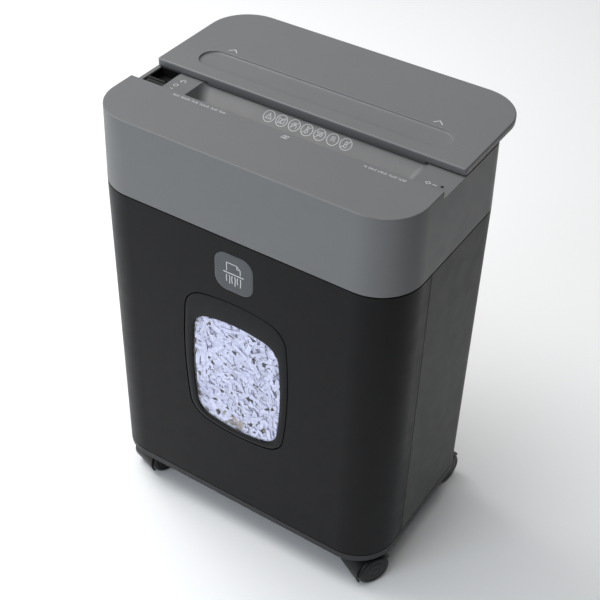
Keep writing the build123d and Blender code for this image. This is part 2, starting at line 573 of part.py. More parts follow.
with BuildPart() as idler_gear:
    extrude(gear_face(COARSE, IDLER_PINION_TEETH, drive_turn + 180 + 180 / IDLER_PINION_TEETH,
                  across(DRIVE_X - 0.5, IDLER_Y, IDLER_Z), IDLER_AXLE_R + RUNNING),
            amount=IDLER_X - DRIVE_X + 0.5)
    extrude(gear_face(FINE, IDLER_TEETH, idler_turn,
                  across(IDLER_X, IDLER_Y, IDLER_Z), IDLER_AXLE_R + RUNNING),
            amount=IDLER_WIDTH)
write(idler_gear.part, "idler_gear")

with BuildPart() as idler_axle:
    with BuildSketch(across(RIGHT_PLATE_X, IDLER_Y, IDLER_Z)):
        Circle(IDLER_AXLE_R)
    extrude(amount=GEARBOX_COVER_X + PLATE_THICKNESS - RIGHT_PLATE_X)
write(idler_axle.part, "idler_axle")

MOTOR_SHAFT_R, MOTOR_LEFT_X = 3.0, RIGHT_PLATE_X - MOTOR_LENGTH
with BuildPart() as motor_can:
    with BuildSketch(across(MOTOR_LEFT_X, MOTOR_Y, MOTOR_Z)):
        Circle(MOTOR_R)
    extrude(amount=MOTOR_LENGTH)
    fillet(motor_can.edges().filter_by(GeomType.CIRCLE), 3)
    with BuildSketch(across(MOTOR_LEFT_X - 6, MOTOR_Y, MOTOR_Z)):
        Circle(12)
    extrude(amount=8)
    with BuildSketch(across(MOTOR_LEFT_X - 7, MOTOR_Y, MOTOR_Z)):
        Circle(MOTOR_SHAFT_R + RUNNING)
    extrude(amount=MOTOR_LENGTH + 8, mode=Mode.SUBTRACT)
    # cooling windows round the can
    with BuildSketch(across(MOTOR_LEFT_X + 8, MOTOR_Y, MOTOR_Z)):
        with PolarLocations(MOTOR_R, 6):
            Rectangle(8, 12)
    extrude(amount=10, mode=Mode.SUBTRACT)
write(motor_can.part, "motor_can")

FAN_X = MOTOR_LEFT_X - 20
with BuildPart() as motor_shaft:
    with BuildSketch(across(FAN_X - 2, MOTOR_Y, MOTOR_Z)):
        Circle(MOTOR_SHAFT_R)
    extrude(amount=GEARBOX_COVER_X + 1 - FAN_X + 2)
    extrude(gear_face(FINE, MOTOR_PINION_TEETH, idler_turn + 180 + 180 / MOTOR_PINION_TEETH,
                  across(IDLER_X - 0.5, MOTOR_Y, MOTOR_Z), MOTOR_SHAFT_R - 0.5),
            amount=IDLER_WIDTH + 1)
write(motor_shaft.part, "motor_shaft")

with BuildPart() as motor_fan:
    with BuildSketch(across(FAN_X, MOTOR_Y, MOTOR_Z)):
        Circle(7)
        with PolarLocations(14, 8):
            Rectangle(20, 1.6)
        Circle(MOTOR_SHAFT_R, mode=Mode.SUBTRACT)
    extrude(amount=12)
write(motor_fan.part, "motor_fan")

# ---------------------------------------------------------------- electrics
BOARD_X, BOARD_Y, BOARD_Z = -138.0, 44.0, TRAY_TOP + 5
with BuildPart() as control_board:
    with Locations((BOARD_X, BOARD_Y, BOARD_Z)):
        Box(50, 84, 1.6)
        with GridLocations(42, 76, 2, 2):
            Cylinder(3, 5, align=(Align.CENTER, Align.CENTER, Align.MAX))
    with Locations((BOARD_X - 8, BOARD_Y + 18, BOARD_Z + 0.8)):
        Box(18, 16, 15, align=(Align.CENTER, Align.CENTER, Align.MIN))
    with Locations((BOARD_X + 13, BOARD_Y + 18, BOARD_Z + 0.8)):
        Cylinder(9, 26, align=(Align.CENTER, Align.CENTER, Align.MIN))
    with Locations((BOARD_X, BOARD_Y - 20, BOARD_Z + 0.8)):
        with GridLocations(22, 20, 2, 2):
            Box(12, 9, 11, align=(Align.CENTER, Align.CENTER, Align.MIN))
write(control_board.part, "control_board")

GLAND_BORE_R, GLAND_REACH = 3.75, 12.0
gland_plane = Plane(origin=(GLAND_X, HALF_Y - WALL - 4, GLAND_Z), x_dir=(1, 0, 0), z_dir=(0, 1, 0))
with BuildPart() as cord_gland:
    with BuildSketch(gland_plane):
        Circle(GLAND_HOLE_R)
    extrude(amount=WALL + 4 + 1)
    with BuildSketch(gland_plane):
        Circle(GLAND_HOLE_R + 2)
    extrude(amount=3)
    with BuildSketch(gland_plane.offset(WALL + 4.6)):
        Circle(GLAND_HOLE_R + 2)
    with BuildSketch(gland_plane.offset(WALL + 4.6 + GLAND_REACH)):
        Circle(GLAND_BORE_R + 1.5)
    loft()
    with BuildSketch(gland_plane.offset(-1)):
        Circle(GLAND_BORE_R)
    extrude(amount=WALL + 4.6 + GLAND_REACH + 2, mode=Mode.SUBTRACT)
write(cord_gland.part, "cord_gland")

# paper sensor: a bracket behind the throat carries a little flag lever
SENSOR_X, SENSOR_Y, SENSOR_Z, SENSOR_PIN_R = 10.0, -17.0, 462.0, 1.5
with BuildPart() as sensor_bracket:
    for side in (-1, 1):
        block(SENSOR_X + side * 4.5 - 0.75, SENSOR_X + side * 4.5 + 0.75,
              SLOT_REAR + CHUTE_WALL, SENSOR_Y + 9, SENSOR_Z - 3.5, SENSOR_Z + 3.5)
    block(SENSOR_X - 5.25, SENSOR_X + 5.25, SENSOR_Y + 7, SENSOR_Y + 9,
          SENSOR_Z - 3.5, SENSOR_Z + 3.5)
    with BuildSketch(across(SENSOR_X - 4.5, SENSOR_Y, SENSOR_Z)):
        Circle(SENSOR_PIN_R)
    extrude(amount=9)
write(sensor_bracket.part, "sensor_bracket")

with BuildPart() as sensor_lever:
    with BuildSketch(across(SENSOR_X - 2.2, SENSOR_Y, SENSOR_Z)):
        Circle(3.0)
        Polygon((0, 2.2), (-14, -1.0), (-15, -2.2), (-14, -3.4), (0, -2.6), align=None)
        Circle(SENSOR_PIN_R + RUNNING, mode=Mode.SUBTRACT)
    extrude(amount=4.4)
write(sensor_lever.part, "sensor_lever")

# bin interlock: a switch on the head tray, with a plunger that a tab on the bin pushes up
with BuildPart() as interlock_switch:
    block(LOCK_X - 10, LOCK_X + 10, LOCK_Y - 6, LOCK_Y + 6, TRAY_TOP, TRAY_TOP + 18)
    with Locations((LOCK_X, LOCK_Y, TRAY_TOP)):
        Cylinder(LOCK_R + RUNNING, 30, mode=Mode.SUBTRACT)
write(interlock_switch.part, "interlock_switch")

with BuildPart() as interlock_plunger:
    with Locations((LOCK_X, LOCK_Y, BIN_TOP + 0.6)):
        Cylinder(LOCK_R, TRAY_TOP + 10 - BIN_TOP, align=(Align.CENTER, Align.CENTER, Align.MIN))
    fillet(interlock_plunger.edges().group_by(Axis.Z)[0], 1.5)
    with Locations((LOCK_X, LOCK_Y, HEAD_BOTTOM - 6)):
        Cylinder(LOCK_R + 1.5, 2)
write(interlock_plunger.part, "interlock_plunger")

# ---------------------------------------------------------------- cabinet
REAR_SPLIT_X = 120.0
for label, side in (("left_side_panel", -1), ("right_side_panel", 1)):
    with BuildPart() as side_panel:
        add(ring_wall(PANEL_BOTTOM, CABINET_TOP))
        near, far = sorted((side * REAR_SPLIT_X, side * (HALF_X + 1)))
        block(near, far, SIDE_SEAM_Y, HALF_Y + 1, 0, TOP, Mode.INTERSECT)
        fillet(side_panel.edges().filter_by(
            lambda edge: abs(edge.center().X) > HALF_X - 0.01
            and abs(edge.center().Y - SIDE_SEAM_Y) < 0.01
        ), EDGE_R)
        # stiffening flange beside the bin front
        edge = sorted((side * (HALF_X - WALL - 2), side * (HALF_X - WALL)))
        block(*edge, SIDE_SEAM_Y, SIDE_SEAM_Y + 4, PANEL_BOTTOM + 12, CABINET_TOP - 26)
    write(side_panel.part, label)

with BuildPart() as rear_panel:
    add(ring_wall(PANEL_BOTTOM, CABINET_TOP))
    block(-REAR_SPLIT_X, REAR_SPLIT_X, 0, HALF_Y + 1, 0, TOP, Mode.INTERSECT)
    with BuildSketch(Plane.XZ.offset(-HALF_Y - 1)):
        with Locations((0, 150)):
            with GridLocations(1, 9, 1, 6):
                SlotOverall(120, 3.5)
    extrude(amount=3 * WALL, mode=Mode.SUBTRACT)
write(rear_panel.part, "rear_panel")

SOCKET_R = 9.0
CASTER_PLACES = [(sx * CASTER_X, sy * CASTER_Y) for sx, sy in CASTER_SIDES.values()]
with BuildPart() as base_tray:
    add(footprint(0, BASE_BOTTOM))
    extrude(amount=BASE_RIM_TOP - BASE_BOTTOM)
    fillet(base_tray.faces().sort_by(Axis.Z)[0].outer_wire().edges(), 1.2)
    add(footprint(WALL, BASE_BOTTOM + WALL))
    extrude(amount=BASE_RIM_TOP - BASE_BOTTOM, mode=Mode.SUBTRACT)
    # sockets for the caster stems, and ribs under the bin rails
    with Locations(*[(x, y, BASE_BOTTOM) for x, y in CASTER_PLACES]):
        Cylinder(SOCKET_R, STEM_TOP + 2 - BASE_BOTTOM, align=(Align.CENTER, Align.CENTER, Align.MIN))
    block(6 - RAIL_X, RAIL_X - 6, -3, 3, BASE_BOTTOM + WALL - 1, BASE_RIM_TOP)
    for rib_x in (-60, 0, 60):
        block(rib_x - 1, rib_x + 1, -100, 100, BASE_BOTTOM + WALL - 1, BASE_RIM_TOP)
    with Locations(*[(x, y, BASE_BOTTOM - 1) for x, y in CASTER_PLACES]):
        Cylinder(STEM_R + RUNNING, STEM_TOP + 1.4 - BASE_BOTTOM,
                 align=(Align.CENTER, Align.CENTER, Align.MIN), mode=Mode.SUBTRACT)
    # upstand that the fixed panels stand round
    with BuildPart(mode=Mode.PRIVATE) as upstand:
        add(footprint(WALL, BASE_BOTTOM + WALL))
        extrude(amount=BASE_RIM_TOP + 8 - BASE_BOTTOM - WALL)
        add(footprint(WALL + 1.8, BASE_BOTTOM + WALL))
        extrude(amount=BASE_RIM_TOP + 8 - BASE_BOTTOM - WALL, mode=Mode.SUBTRACT)
        block(-HALF_X, HALF_X, SIDE_SEAM_Y + 6, HALF_Y, 0, TOP, Mode.INTERSECT)
    add(upstand.part)
write(base_tray.part, "base_tray")

with BuildPart() as bin_runners:
    for side in (-1, 1):
        block(side * RAIL_X - 6, side * RAIL_X + 6, -90, 96, BASE_BOTTOM + WALL, RAIL_TOP)
write(bin_runners.part, "bin_runners")

# ---------------------------------------------------------------- bin
front_plane = Plane(origin=(0, -HALF_Y, 0), x_dir=(1, 0, 0), z_dir=(0, -1, 0))


def window_outline(grow, depth):
    """The clear window's outline, grown outwards, depth behind the front face."""
    return window_curve(WINDOW_HALF - 4 + grow, WINDOW_HALF - 6 + grow, WINDOW_HALF + grow,
                        WINDOW_BOTTOM - grow, WINDOW_TOP + grow, 8, 21 + grow,
                        front_plane.offset(-depth))


def bezel_outline(grow, depth):
    """The bezel's outline, grown outwards, depth behind the front face."""
    return window_curve(BEZEL_HALF - 5 + grow, BEZEL_HALF - 7 + grow, BEZEL_HALF + grow,
                        BEZEL_BOTTOM - grow, BEZEL_TOP + grow, 9, 27 + grow,
                        front_plane.offset(-depth))


with BuildPart() as bin_tub:
    add(footprint(BIN_INSET, BIN_BOTTOM))
    extrude(amount=BIN_TOP - BIN_BOTTOM)
    add(footprint(BIN_INSET + BIN_WALL, BIN_BOTTOM + BIN_WALL))
    extrude(amount=BIN_TOP - BIN_BOTTOM, mode=Mode.SUBTRACT)
    extrude(window_outline(3, BIN_INSET - 1), amount=-BIN_WALL - 2, mode=Mode.SUBTRACT)
    block(LOCK_X - 8, LOCK_X + 8, HALF_Y - BIN_INSET - BIN_WALL - 11, HALF_Y - BIN_INSET - 1,
          BIN_TOP - 3, BIN_TOP)
write(bin_tub.part, "bin_tub")

with BuildPart() as bin_front:
    add(ring_wall(PANEL_BOTTOM, CABINET_TOP))
    block(-HALF_X - 1, HALF_X + 1, -HALF_Y - 1, SIDE_SEAM_Y - SEAM, 0, TOP, Mode.INTERSECT)
    extrude(bezel_outline(BEZEL_GAP, -1), amount=-WALL - 2, mode=Mode.SUBTRACT)
    with BuildSketch(front_plane):
        with Locations((0, BADGE_Z)):
            RectangleRounded(BADGE_SIZE, BADGE_SIZE, 14)
    extrude(amount=-0.8, mode=Mode.SUBTRACT)
    fillet(bin_front.edges().filter_by(
        lambda edge: abs(edge.center().X) > HALF_X - 0.01
        and abs(edge.center().Y - SIDE_SEAM_Y + SEAM) < 0.01
    ), EDGE_R)
    # pads that join the panel to the tub
    for pad_z in (90, 370):
        with Locations((0, -HALF_Y + (WALL + BIN_INSET) / 2, pad_z)):
            with GridLocations(180, 1, 2, 1):
                Box(24, BIN_INSET - WALL, 18)
write(bin_front.part, "bin_front")

BEZEL_DEPTH = 5.0
with BuildPart() as window_bezel:
    extrude(bezel_outline(0, 0), amount=-WALL)
    extrude(bezel_outline(4, WALL), amount=WALL - BEZEL_DEPTH)
    extrude(window_outline(3, 2), amount=-BEZEL_DEPTH, mode=Mode.SUBTRACT)
    extrude(window_outline(0, -1), amount=-BEZEL_DEPTH, mode=Mode.SUBTRACT)
write(window_bezel.part, "window_bezel")

with BuildPart() as window_lens:
    extrude(window_outline(3, 2), amount=-1.8)
write(window_lens.part, "window_lens")

with BuildPart() as front_badge:
    with BuildSketch(front_plane.offset(-0.8)):
        with Locations((0, BADGE_Z)):
            RectangleRounded(BADGE_SIZE - 0.4, BADGE_SIZE - 0.4, 13.8)
    extrude(amount=1.1)
write(front_badge.part, "front_badge")

SHRED_FRONT = -HALF_Y + BIN_INSET + BIN_WALL + 0.3
SHRED_FLOOR = BIN_BOTTOM + BIN_WALL
with BuildPart() as paper_shreds:
    with BuildSketch(Plane.YZ.offset(-118)):
        Polygon((SHRED_FRONT, SHRED_FLOOR), (SHRED_FRONT + 48, SHRED_FLOOR),
                (SHRED_FRONT + 40, SHRED_FLOOR + 70), (SHRED_FRONT + 22, 300),
                (SHRED_FRONT + 6, 330), (SHRED_FRONT, 330), align=None)
    extrude(amount=236)
    # the paper presses through the tub's window hole, up to the clear plate
    extrude(window_outline(2, BIN_INSET - 2.2), amount=-BIN_WALL - 4)
write(paper_shreds.part, "paper_shreds")


# ---------------------------------------------------------------- casters
def sector(inner, outer, start, stop):
    """A ring sector between two angles, drawn in the current sketch."""
    span = stop - start
    reach = [(2 * outer * cos(radians(start + span * k / 12)),
              2 * outer * sin(radians(start + span * k / 12))) for k in range(13)]
    with BuildSketch(mode=Mode.PRIVATE) as fan:
        Polygon((0, 0), *reach, align=None)
    Circle(outer)
    Circle(inner, mode=Mode.SUBTRACT)
    add(fan.sketch, mode=Mode.INTERSECT)


def build_caster(name):
    """One hooded twin-wheel caster: hood, steel pins and two wheels."""
    side_x, side_y = CASTER_SIDES[name]
    x, y, turn = side_x * CASTER_X, side_y * CASTER_Y, radians(CASTER_ANGLES[name])
    axle = (cos(turn), sin(turn), 0)
    back = (-sin(turn), cos(turn), 0)
    centre = (x + CASTER_TRAIL * back[0], y + CASTER_TRAIL * back[1], WHEEL_R)

    def station(distance):
        """A plane across the axle, that far along it: local x trails back, local y is up."""
        origin = tuple(c + distance * a for c, a in zip(centre, axle))
        return Plane(origin=origin, x_dir=back, z_dir=axle)

    with BuildPart() as hood:
        with BuildSketch(station(-HOOD_HALF)):
            sector(HOOD_INNER_R, HOOD_R, 22, 216)
        extrude(amount=2 * HOOD_HALF)
        with BuildSketch(station(-WEB_HALF)):
            sector(4, HOOD_R - 0.2, 22, 216)
            Circle(9)
        extrude(amount=2 * WEB_HALF)
        with Locations((x, y, 2 * WHEEL_R + 0.4)):
            Cylinder(8, HOOD_R - WHEEL_R + 0.8, align=(Align.CENTER, Align.CENTER, Align.MIN))
        with Locations((x, y, 20)):
            Cylinder(STEM_R, 40, align=(Align.CENTER, Align.CENTER, Align.MIN), mode=Mode.SUBTRACT)
        with BuildSketch(station(-WEB_HALF - 1)):
            Circle(AXLE_R)
        extrude(amount=2 * WEB_HALF + 2, mode=Mode.SUBTRACT)
    write(hood.part, f"caster_{name}_hood")

    with BuildPart() as pins:
        with Locations((x, y, 20)):
            Cylinder(STEM_R, STEM_TOP - 20, align=(Align.CENTER, Align.CENTER, Align.MIN))
        chamfer(pins.edges().group_by(Axis.Z)[-1], 0.8)
        reach = WHEEL_INNER + WHEEL_WIDTH - 4
        with BuildSketch(station(-reach)):
            Circle(AXLE_R)
        extrude(amount=2 * reach)
    write(pins.part, f"caster_{name}_pins")

    for label, side in (("wheel_a", -1), ("wheel_b", 1)):
        with BuildPart() as wheel:
            with BuildSketch(station(side * WHEEL_INNER)):
                Circle(WHEEL_R)
            extrude(amount=side * WHEEL_WIDTH)
            outer_edge = wheel.faces().filter_by(GeomType.PLANE).sort_by(
                lambda face: (face.center() - Vector(*centre)).length
            )[-1].edges()
            fillet(outer_edge, 4)
            with BuildSketch(station(side * (WHEEL_INNER - 0.5))):
                Circle(WHEEL_R - 3)
                Circle(7, mode=Mode.SUBTRACT)
            extrude(amount=side * 7, mode=Mode.SUBTRACT)
            with BuildSketch(station(side * (WHEEL_INNER - 0.5))):
                Circle(AXLE_R + RUNNING)
            extrude(amount=side * (WHEEL_WIDTH - 3), mode=Mode.SUBTRACT)
        write(wheel.part, f"caster_{name}_{label}")


for caster_name in CASTER_SIDES:
    build_caster(caster_name)
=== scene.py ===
# %% [markdown]
# # An office paper shredder, piece by piece
# The frame holds the engineering model: every casing part, gear and caster, with its joints.
# This lesson dresses that frame. Parts whose shape is already right only get a finish.
# Parts that need finer forms are worked out with numpy as surfaces over two parameters.

# %% Load the frame
import json
import math

import bmesh
import bpy
import numpy as np
from mathutils import Matrix, Vector


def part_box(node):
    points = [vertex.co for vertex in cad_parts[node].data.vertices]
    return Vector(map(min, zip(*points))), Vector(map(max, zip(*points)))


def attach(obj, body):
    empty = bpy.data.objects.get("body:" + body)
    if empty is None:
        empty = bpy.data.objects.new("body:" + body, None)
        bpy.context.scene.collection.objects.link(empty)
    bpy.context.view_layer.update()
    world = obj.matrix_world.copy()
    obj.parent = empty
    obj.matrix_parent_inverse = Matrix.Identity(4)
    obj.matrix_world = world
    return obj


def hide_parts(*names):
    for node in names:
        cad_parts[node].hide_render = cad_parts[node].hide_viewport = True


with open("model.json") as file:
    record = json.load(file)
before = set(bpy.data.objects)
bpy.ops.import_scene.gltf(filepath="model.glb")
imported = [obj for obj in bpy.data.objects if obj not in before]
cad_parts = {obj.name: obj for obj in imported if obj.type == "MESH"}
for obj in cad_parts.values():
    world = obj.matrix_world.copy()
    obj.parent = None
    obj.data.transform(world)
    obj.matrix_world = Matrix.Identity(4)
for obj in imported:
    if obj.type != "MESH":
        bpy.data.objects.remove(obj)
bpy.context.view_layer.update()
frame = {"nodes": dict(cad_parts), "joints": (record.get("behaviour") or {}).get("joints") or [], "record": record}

MM = 0.001

# %% [markdown]
# ## The camera
# The view looks down on the front right corner from about 40 degrees. A camera is a point, a
# direction and a small roll, so it is built from those three: first the forward direction from
# yaw and pitch, then the two directions across it, turned by the roll.

# %% Camera
eye = Vector((529.0, -834.9, 1108.9)) * MM
yaw, pitch, roll = 0.5556, -0.6962, 0.0317
focal_in_widths, centre_x, centre_y = 1204.6 / 600, 301.9 / 600, 293.2 / 600
forward = Vector((-math.sin(yaw) * math.cos(pitch), math.cos(yaw) * math.cos(pitch),
                  math.sin(pitch)))
level = Vector((math.cos(yaw), math.sin(yaw), 0))
upward = level.cross(forward)
right = level * math.cos(roll) + upward * math.sin(roll)
up = upward * math.cos(roll) - level * math.sin(roll)
lens = bpy.data.cameras.new("shredder_view")
lens.sensor_width = 36
lens.lens = 36 * focal_in_widths
lens.shift_x, lens.shift_y = 0.5 - centre_x, centre_y - 0.5
lens.clip_start, lens.clip_end = 0.05, 20
camera = bpy.data.objects.new("shredder_view", lens)
camera.matrix_world = Matrix((
    (right.x, up.x, -forward.x, eye.x),
    (right.y, up.y, -forward.y, eye.y),
    (right.z, up.z, -forward.z, eye.z),
    (0, 0, 0, 1)))
bpy.context.scene.collection.objects.link(camera)
bpy.context.scene.camera = camera
print("camera at", [round(v, 3) for v in eye], "lens", round(lens.lens, 1))

# %% [markdown]
# ## Surfaces from arrays
# Every new piece is one or more grids of points. A grid needs only its points and the rule for
# which neighbours make a face, so one helper turns any array of shape (rows, columns, 3) into
# quads, and another joins the grids of a piece, welds their shared edges and gives it a finish.


# %% Grids into meshes
def quads(rows, cols, wrap_rows=False, wrap_cols=False):
    """Corner numbers of the faces of a grid: (i, j), (i, j+1), (i+1, j+1), (i+1, j)."""
    i = np.arange(rows if wrap_rows else rows - 1)[:, None]
    j = np.arange(cols if wrap_cols else cols - 1)[None, :]
    after_i, after_j = (i + 1) % rows, (j + 1) % cols
    corners = (i * cols + j, i * cols + after_j, after_i * cols + after_j, after_i * cols + j)
    return np.stack(corners, -1).reshape(-1, 4)


def grid(points, wrap_rows=False, wrap_cols=False):
    """A grid of points, in millimetres, as (vertices, faces)."""
    rows, cols = points.shape[:2]
    return points.reshape(-1, 3), quads(rows, cols, wrap_rows, wrap_cols)


def piece(name, grids, body, finish, stands_for=(), weld=0.01, smooth=32, tints=None):
    """One object from several grids: joined, welded, smoothed up to an angle, riding a body."""
    verts, faces, start = [], [], 0
    for points, corners in grids:
        verts.append(points)
        faces.append(corners + start)
        start += len(points)
    mesh = bpy.data.meshes.new(name)
    mesh.from_pydata((np.concatenate(verts) * MM).tolist(), [], np.concatenate(faces).tolist())
    if tints is not None:
        layer = mesh.color_attributes.new("tint", "FLOAT_COLOR", "POINT")
        layer.data.foreach_set("color", np.pad(tints, ((0, 0), (0, 1)), constant_values=1).ravel())
    work = bmesh.new()
    work.from_mesh(mesh)
    bmesh.ops.remove_doubles(work, verts=work.verts, dist=weld * MM)
    bmesh.ops.dissolve_degenerate(work, edges=work.edges, dist=weld * MM * 0.5)
    bmesh.ops.recalc_face_normals(work, faces=work.faces)
    work.to_mesh(mesh)
    work.free()
    mesh.shade_smooth()
    mesh.set_sharp_from_angle(angle=math.radians(smooth))
    made = bpy.data.objects.new(name, mesh)
    bpy.context.scene.collection.objects.link(made)
    mesh.materials.append(finish)
    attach(made, body)
    if stands_for:
        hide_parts(*stands_for)
    print(f"{name}: {len(mesh.polygons)} faces")
    return made


# %% [markdown]
# ## Paths and profiles
# Casings are drawn twice: a path seen from above or from the front, and a small profile that is
# carried along it. A path keeps its outward directions, so that a profile can be set in from it
# by any distance and still follow the corners.


# %% Rounded paths
def rounded_path(corners, radii, arc_steps=14):
    """Points and outward directions round a closed outline whose corners are cut by arcs.

    At each corner the arc starts r * tan(half the turn) before it; the outward direction is the
    run's direction turned a quarter turn to its right, for corners listed anticlockwise.
    """
    corners = np.asarray(corners, float)
    count = len(corners)
    points, normals = [], []
    for k, radius in enumerate(radii):
        before, here, after = corners[k - 1], corners[k], corners[(k + 1) % count]
        run_in, run_out = here - before, after - here
        run_in, run_out = run_in / np.linalg.norm(run_in), run_out / np.linalg.norm(run_out)
        turn = math.atan2(run_in[0] * run_out[1] - run_in[1] * run_out[0], run_in @ run_out)
        start = here - run_in * radius * math.tan(abs(turn) / 2)
        side = np.sign(turn)
        centre = start + side * radius * np.array([-run_in[1], run_in[0]])
        angle = np.linspace(0, turn, arc_steps + 1)[:, None]
        outward = np.array([run_in[1], -run_in[0]])
        turned = np.cos(angle) * outward + np.sin(angle) * np.array([-outward[1], outward[0]])
        points.append(centre + side * radius * turned)
        normals.append(turned)
    return np.concatenate(points), np.concatenate(normals)


def divide(points, normals, longest):
    """The same closed path with no step longer than the given length."""
    ends, next_normals = np.roll(points, -1, 0), np.roll(normals, -1, 0)
    out, out_n = [], []
    for a, b, u, v in zip(points, ends, normals, next_normals):
        parts = max(1, int(np.ceil(np.linalg.norm(b - a) / longest)))
        t = np.arange(parts)[:, None] / parts
        out.append(a + (b - a) * t)
        out_n.append(u + (v - u) * t)
    return np.concatenate(out), np.concatenate(out_n)


def carried(profile, points, normals):
    """A profile of (inset, height) carried along a path seen from above: rows up, columns round."""
    inset, height = profile[:, 0][:, None, None], profile[:, 1][:, None]
    flat = points[None] - normals[None] * inset
    return np.concatenate([flat, np.broadcast_to(height[..., None], flat.shape[:2] + (1,))], -1)


def corner_arc(radius, start, stop, steps, centre):
    """Part of a circle, between two angles in degrees, as rows of two numbers."""
    angle = np.radians(np.linspace(start, stop, steps + 1))
    return np.stack([centre[0] + radius * np.cos(angle), centre[1] + radius * np.sin(angle)], 1)


print("helpers ready")

# %% [markdown]
# ## Finishes: one recipe for each kind of surface
# Plastic, metal, paper and clear sheet each get a short recipe of nodes. Every recipe reads
# object coordinates in metres, so a grain of half a millimetre is a noise of 2000 cells a metre.
# Numbers that are the same everywhere go straight onto the shader's own sockets.


# %% Node helpers
def node(tree, kind, inputs=(), **settings):
    """A shader node with its settings made and its sockets either linked or given a value."""
    made = tree.nodes.new("ShaderNode" + kind)
    for name, value in settings.items():
        setattr(made, name, value)
    for name, value in dict(inputs).items():
        if isinstance(value, bpy.types.NodeSocket):
            tree.links.new(value, made.inputs[name])
        else:
            made.inputs[name].default_value = value
    return made


def new_finish(name, roughness=0.5, **plain):
    """An empty material: its name, node tree and Principled shader with plain values set."""
    made = bpy.data.materials.new(name)
    made.use_nodes = True
    surface = made.node_tree.nodes["Principled BSDF"]
    surface.inputs["Roughness"].default_value = roughness
    for socket, value in plain.items():
        surface.inputs[socket.replace("_", " ")].default_value = value
    return made, made.node_tree, surface


def noise(tree, scale, detail=2.0, stretch=(1, 1, 1)):
    """Noise on object coordinates, in cells per metre, stretched along any axis."""
    place = node(tree, "TexCoord").outputs["Object"]
    placed = node(tree, "Mapping", {"Vector": place, "Scale": stretch}).outputs["Vector"]
    return node(tree, "TexNoise", {"Vector": placed, "Scale": scale, "Detail": detail}).outputs[0]


def spread(tree, value, low, high, start=0.32, stop=0.68):
    """A value between start and stop brought to between low and high."""
    limits = {"From Min": start, "From Max": stop, "To Min": low, "To Max": high}
    return node(tree, "MapRange", {"Value": value, **limits}).outputs["Result"]


def mixed(tree, factor, first, second):
    """Two colours blended by a factor; each may be a plain colour or another node's output."""
    made = node(tree, "Mix", data_type="RGBA")
    for socket, value in ((0, factor), (6, first), (7, second)):
        if isinstance(value, bpy.types.NodeSocket):
            tree.links.new(value, made.inputs[socket])
        else:
            made.inputs[socket].default_value = (*value, 1) if socket else value
    return made.outputs[2]


def shade(colour, factor):
    """A colour made lighter or darker by a factor."""
    return tuple(min(1.0, channel * factor) for channel in colour)


def bumped(tree, surface, height, depth, strength=1.0):
    """Relief for the shader: a height of 0 to 1 that stands for a depth in millimetres."""
    relief = node(tree, "Bump", {"Height": height, "Distance": depth * MM, "Strength": strength})
    tree.links.new(relief.outputs["Normal"], surface.inputs["Normal"])


# %% Recipes for plastic and metal
def moulded(name, colour, roughness=0.45, grain=0.55, depth=0.02, drift=0.05, speck=0.10, **plain):
    """Moulded plastic: tone drifts slowly over a hand's width, specks follow a fine grain.

    The grain is the print of the etched mould: cells of the given size, in millimetres, that
    stand a few hundredths of a millimetre proud and scatter a highlight into a soft sheen.
    """
    made, tree, surface = new_finish(name, roughness, **plain)
    slow = spread(tree, noise(tree, 9, 3), 0, 1)
    fine = noise(tree, 1 / (grain * MM), 3)
    drifted = mixed(tree, slow, shade(colour, 1 - drift), shade(colour, 1 + drift))
    bright = mixed(tree, slow, shade(colour, 1 + speck), shade(colour, 1 + speck + drift))
    tree.links.new(
        mixed(tree, spread(tree, fine, 0, 1), drifted, bright), surface.inputs["Base Color"])
    wander = spread(tree, noise(tree, 55, 4), roughness - 0.03, roughness + 0.03)
    tree.links.new(wander, surface.inputs["Roughness"])
    bumped(tree, surface, fine, depth)
    return made


def metal(name, colour, roughness=0.3, brushed=(1, 1, 1), scale=900, depth=0.01, stain=0.12):
    """Bare metal: fine scratches stretched along the way it was drawn or turned, faint stains."""
    made, tree, surface = new_finish(name, roughness, Metallic=1.0)
    lines = noise(tree, scale, 4, brushed)
    stains = spread(tree, noise(tree, 35, 4), 0, 1)
    toned = mixed(tree, stains, shade(colour, 1 - stain), colour)
    worked = mixed(tree, spread(tree, lines, 0, 1), shade(colour, 1 - stain), toned)
    tree.links.new(worked, surface.inputs["Base Color"])
    rough = spread(tree, noise(tree, 120, 3), roughness - 0.07, roughness + 0.09)
    tree.links.new(rough, surface.inputs["Roughness"])
    bumped(tree, surface, lines, depth)
    return made


# %% [markdown]
# ## The casing's plastics
# The head is ABS with a fine etched skin, the cabinet a coarser near-black one. Both are
# satin: the gloss of the sides and the corner comes from the shader, not from painted shade.

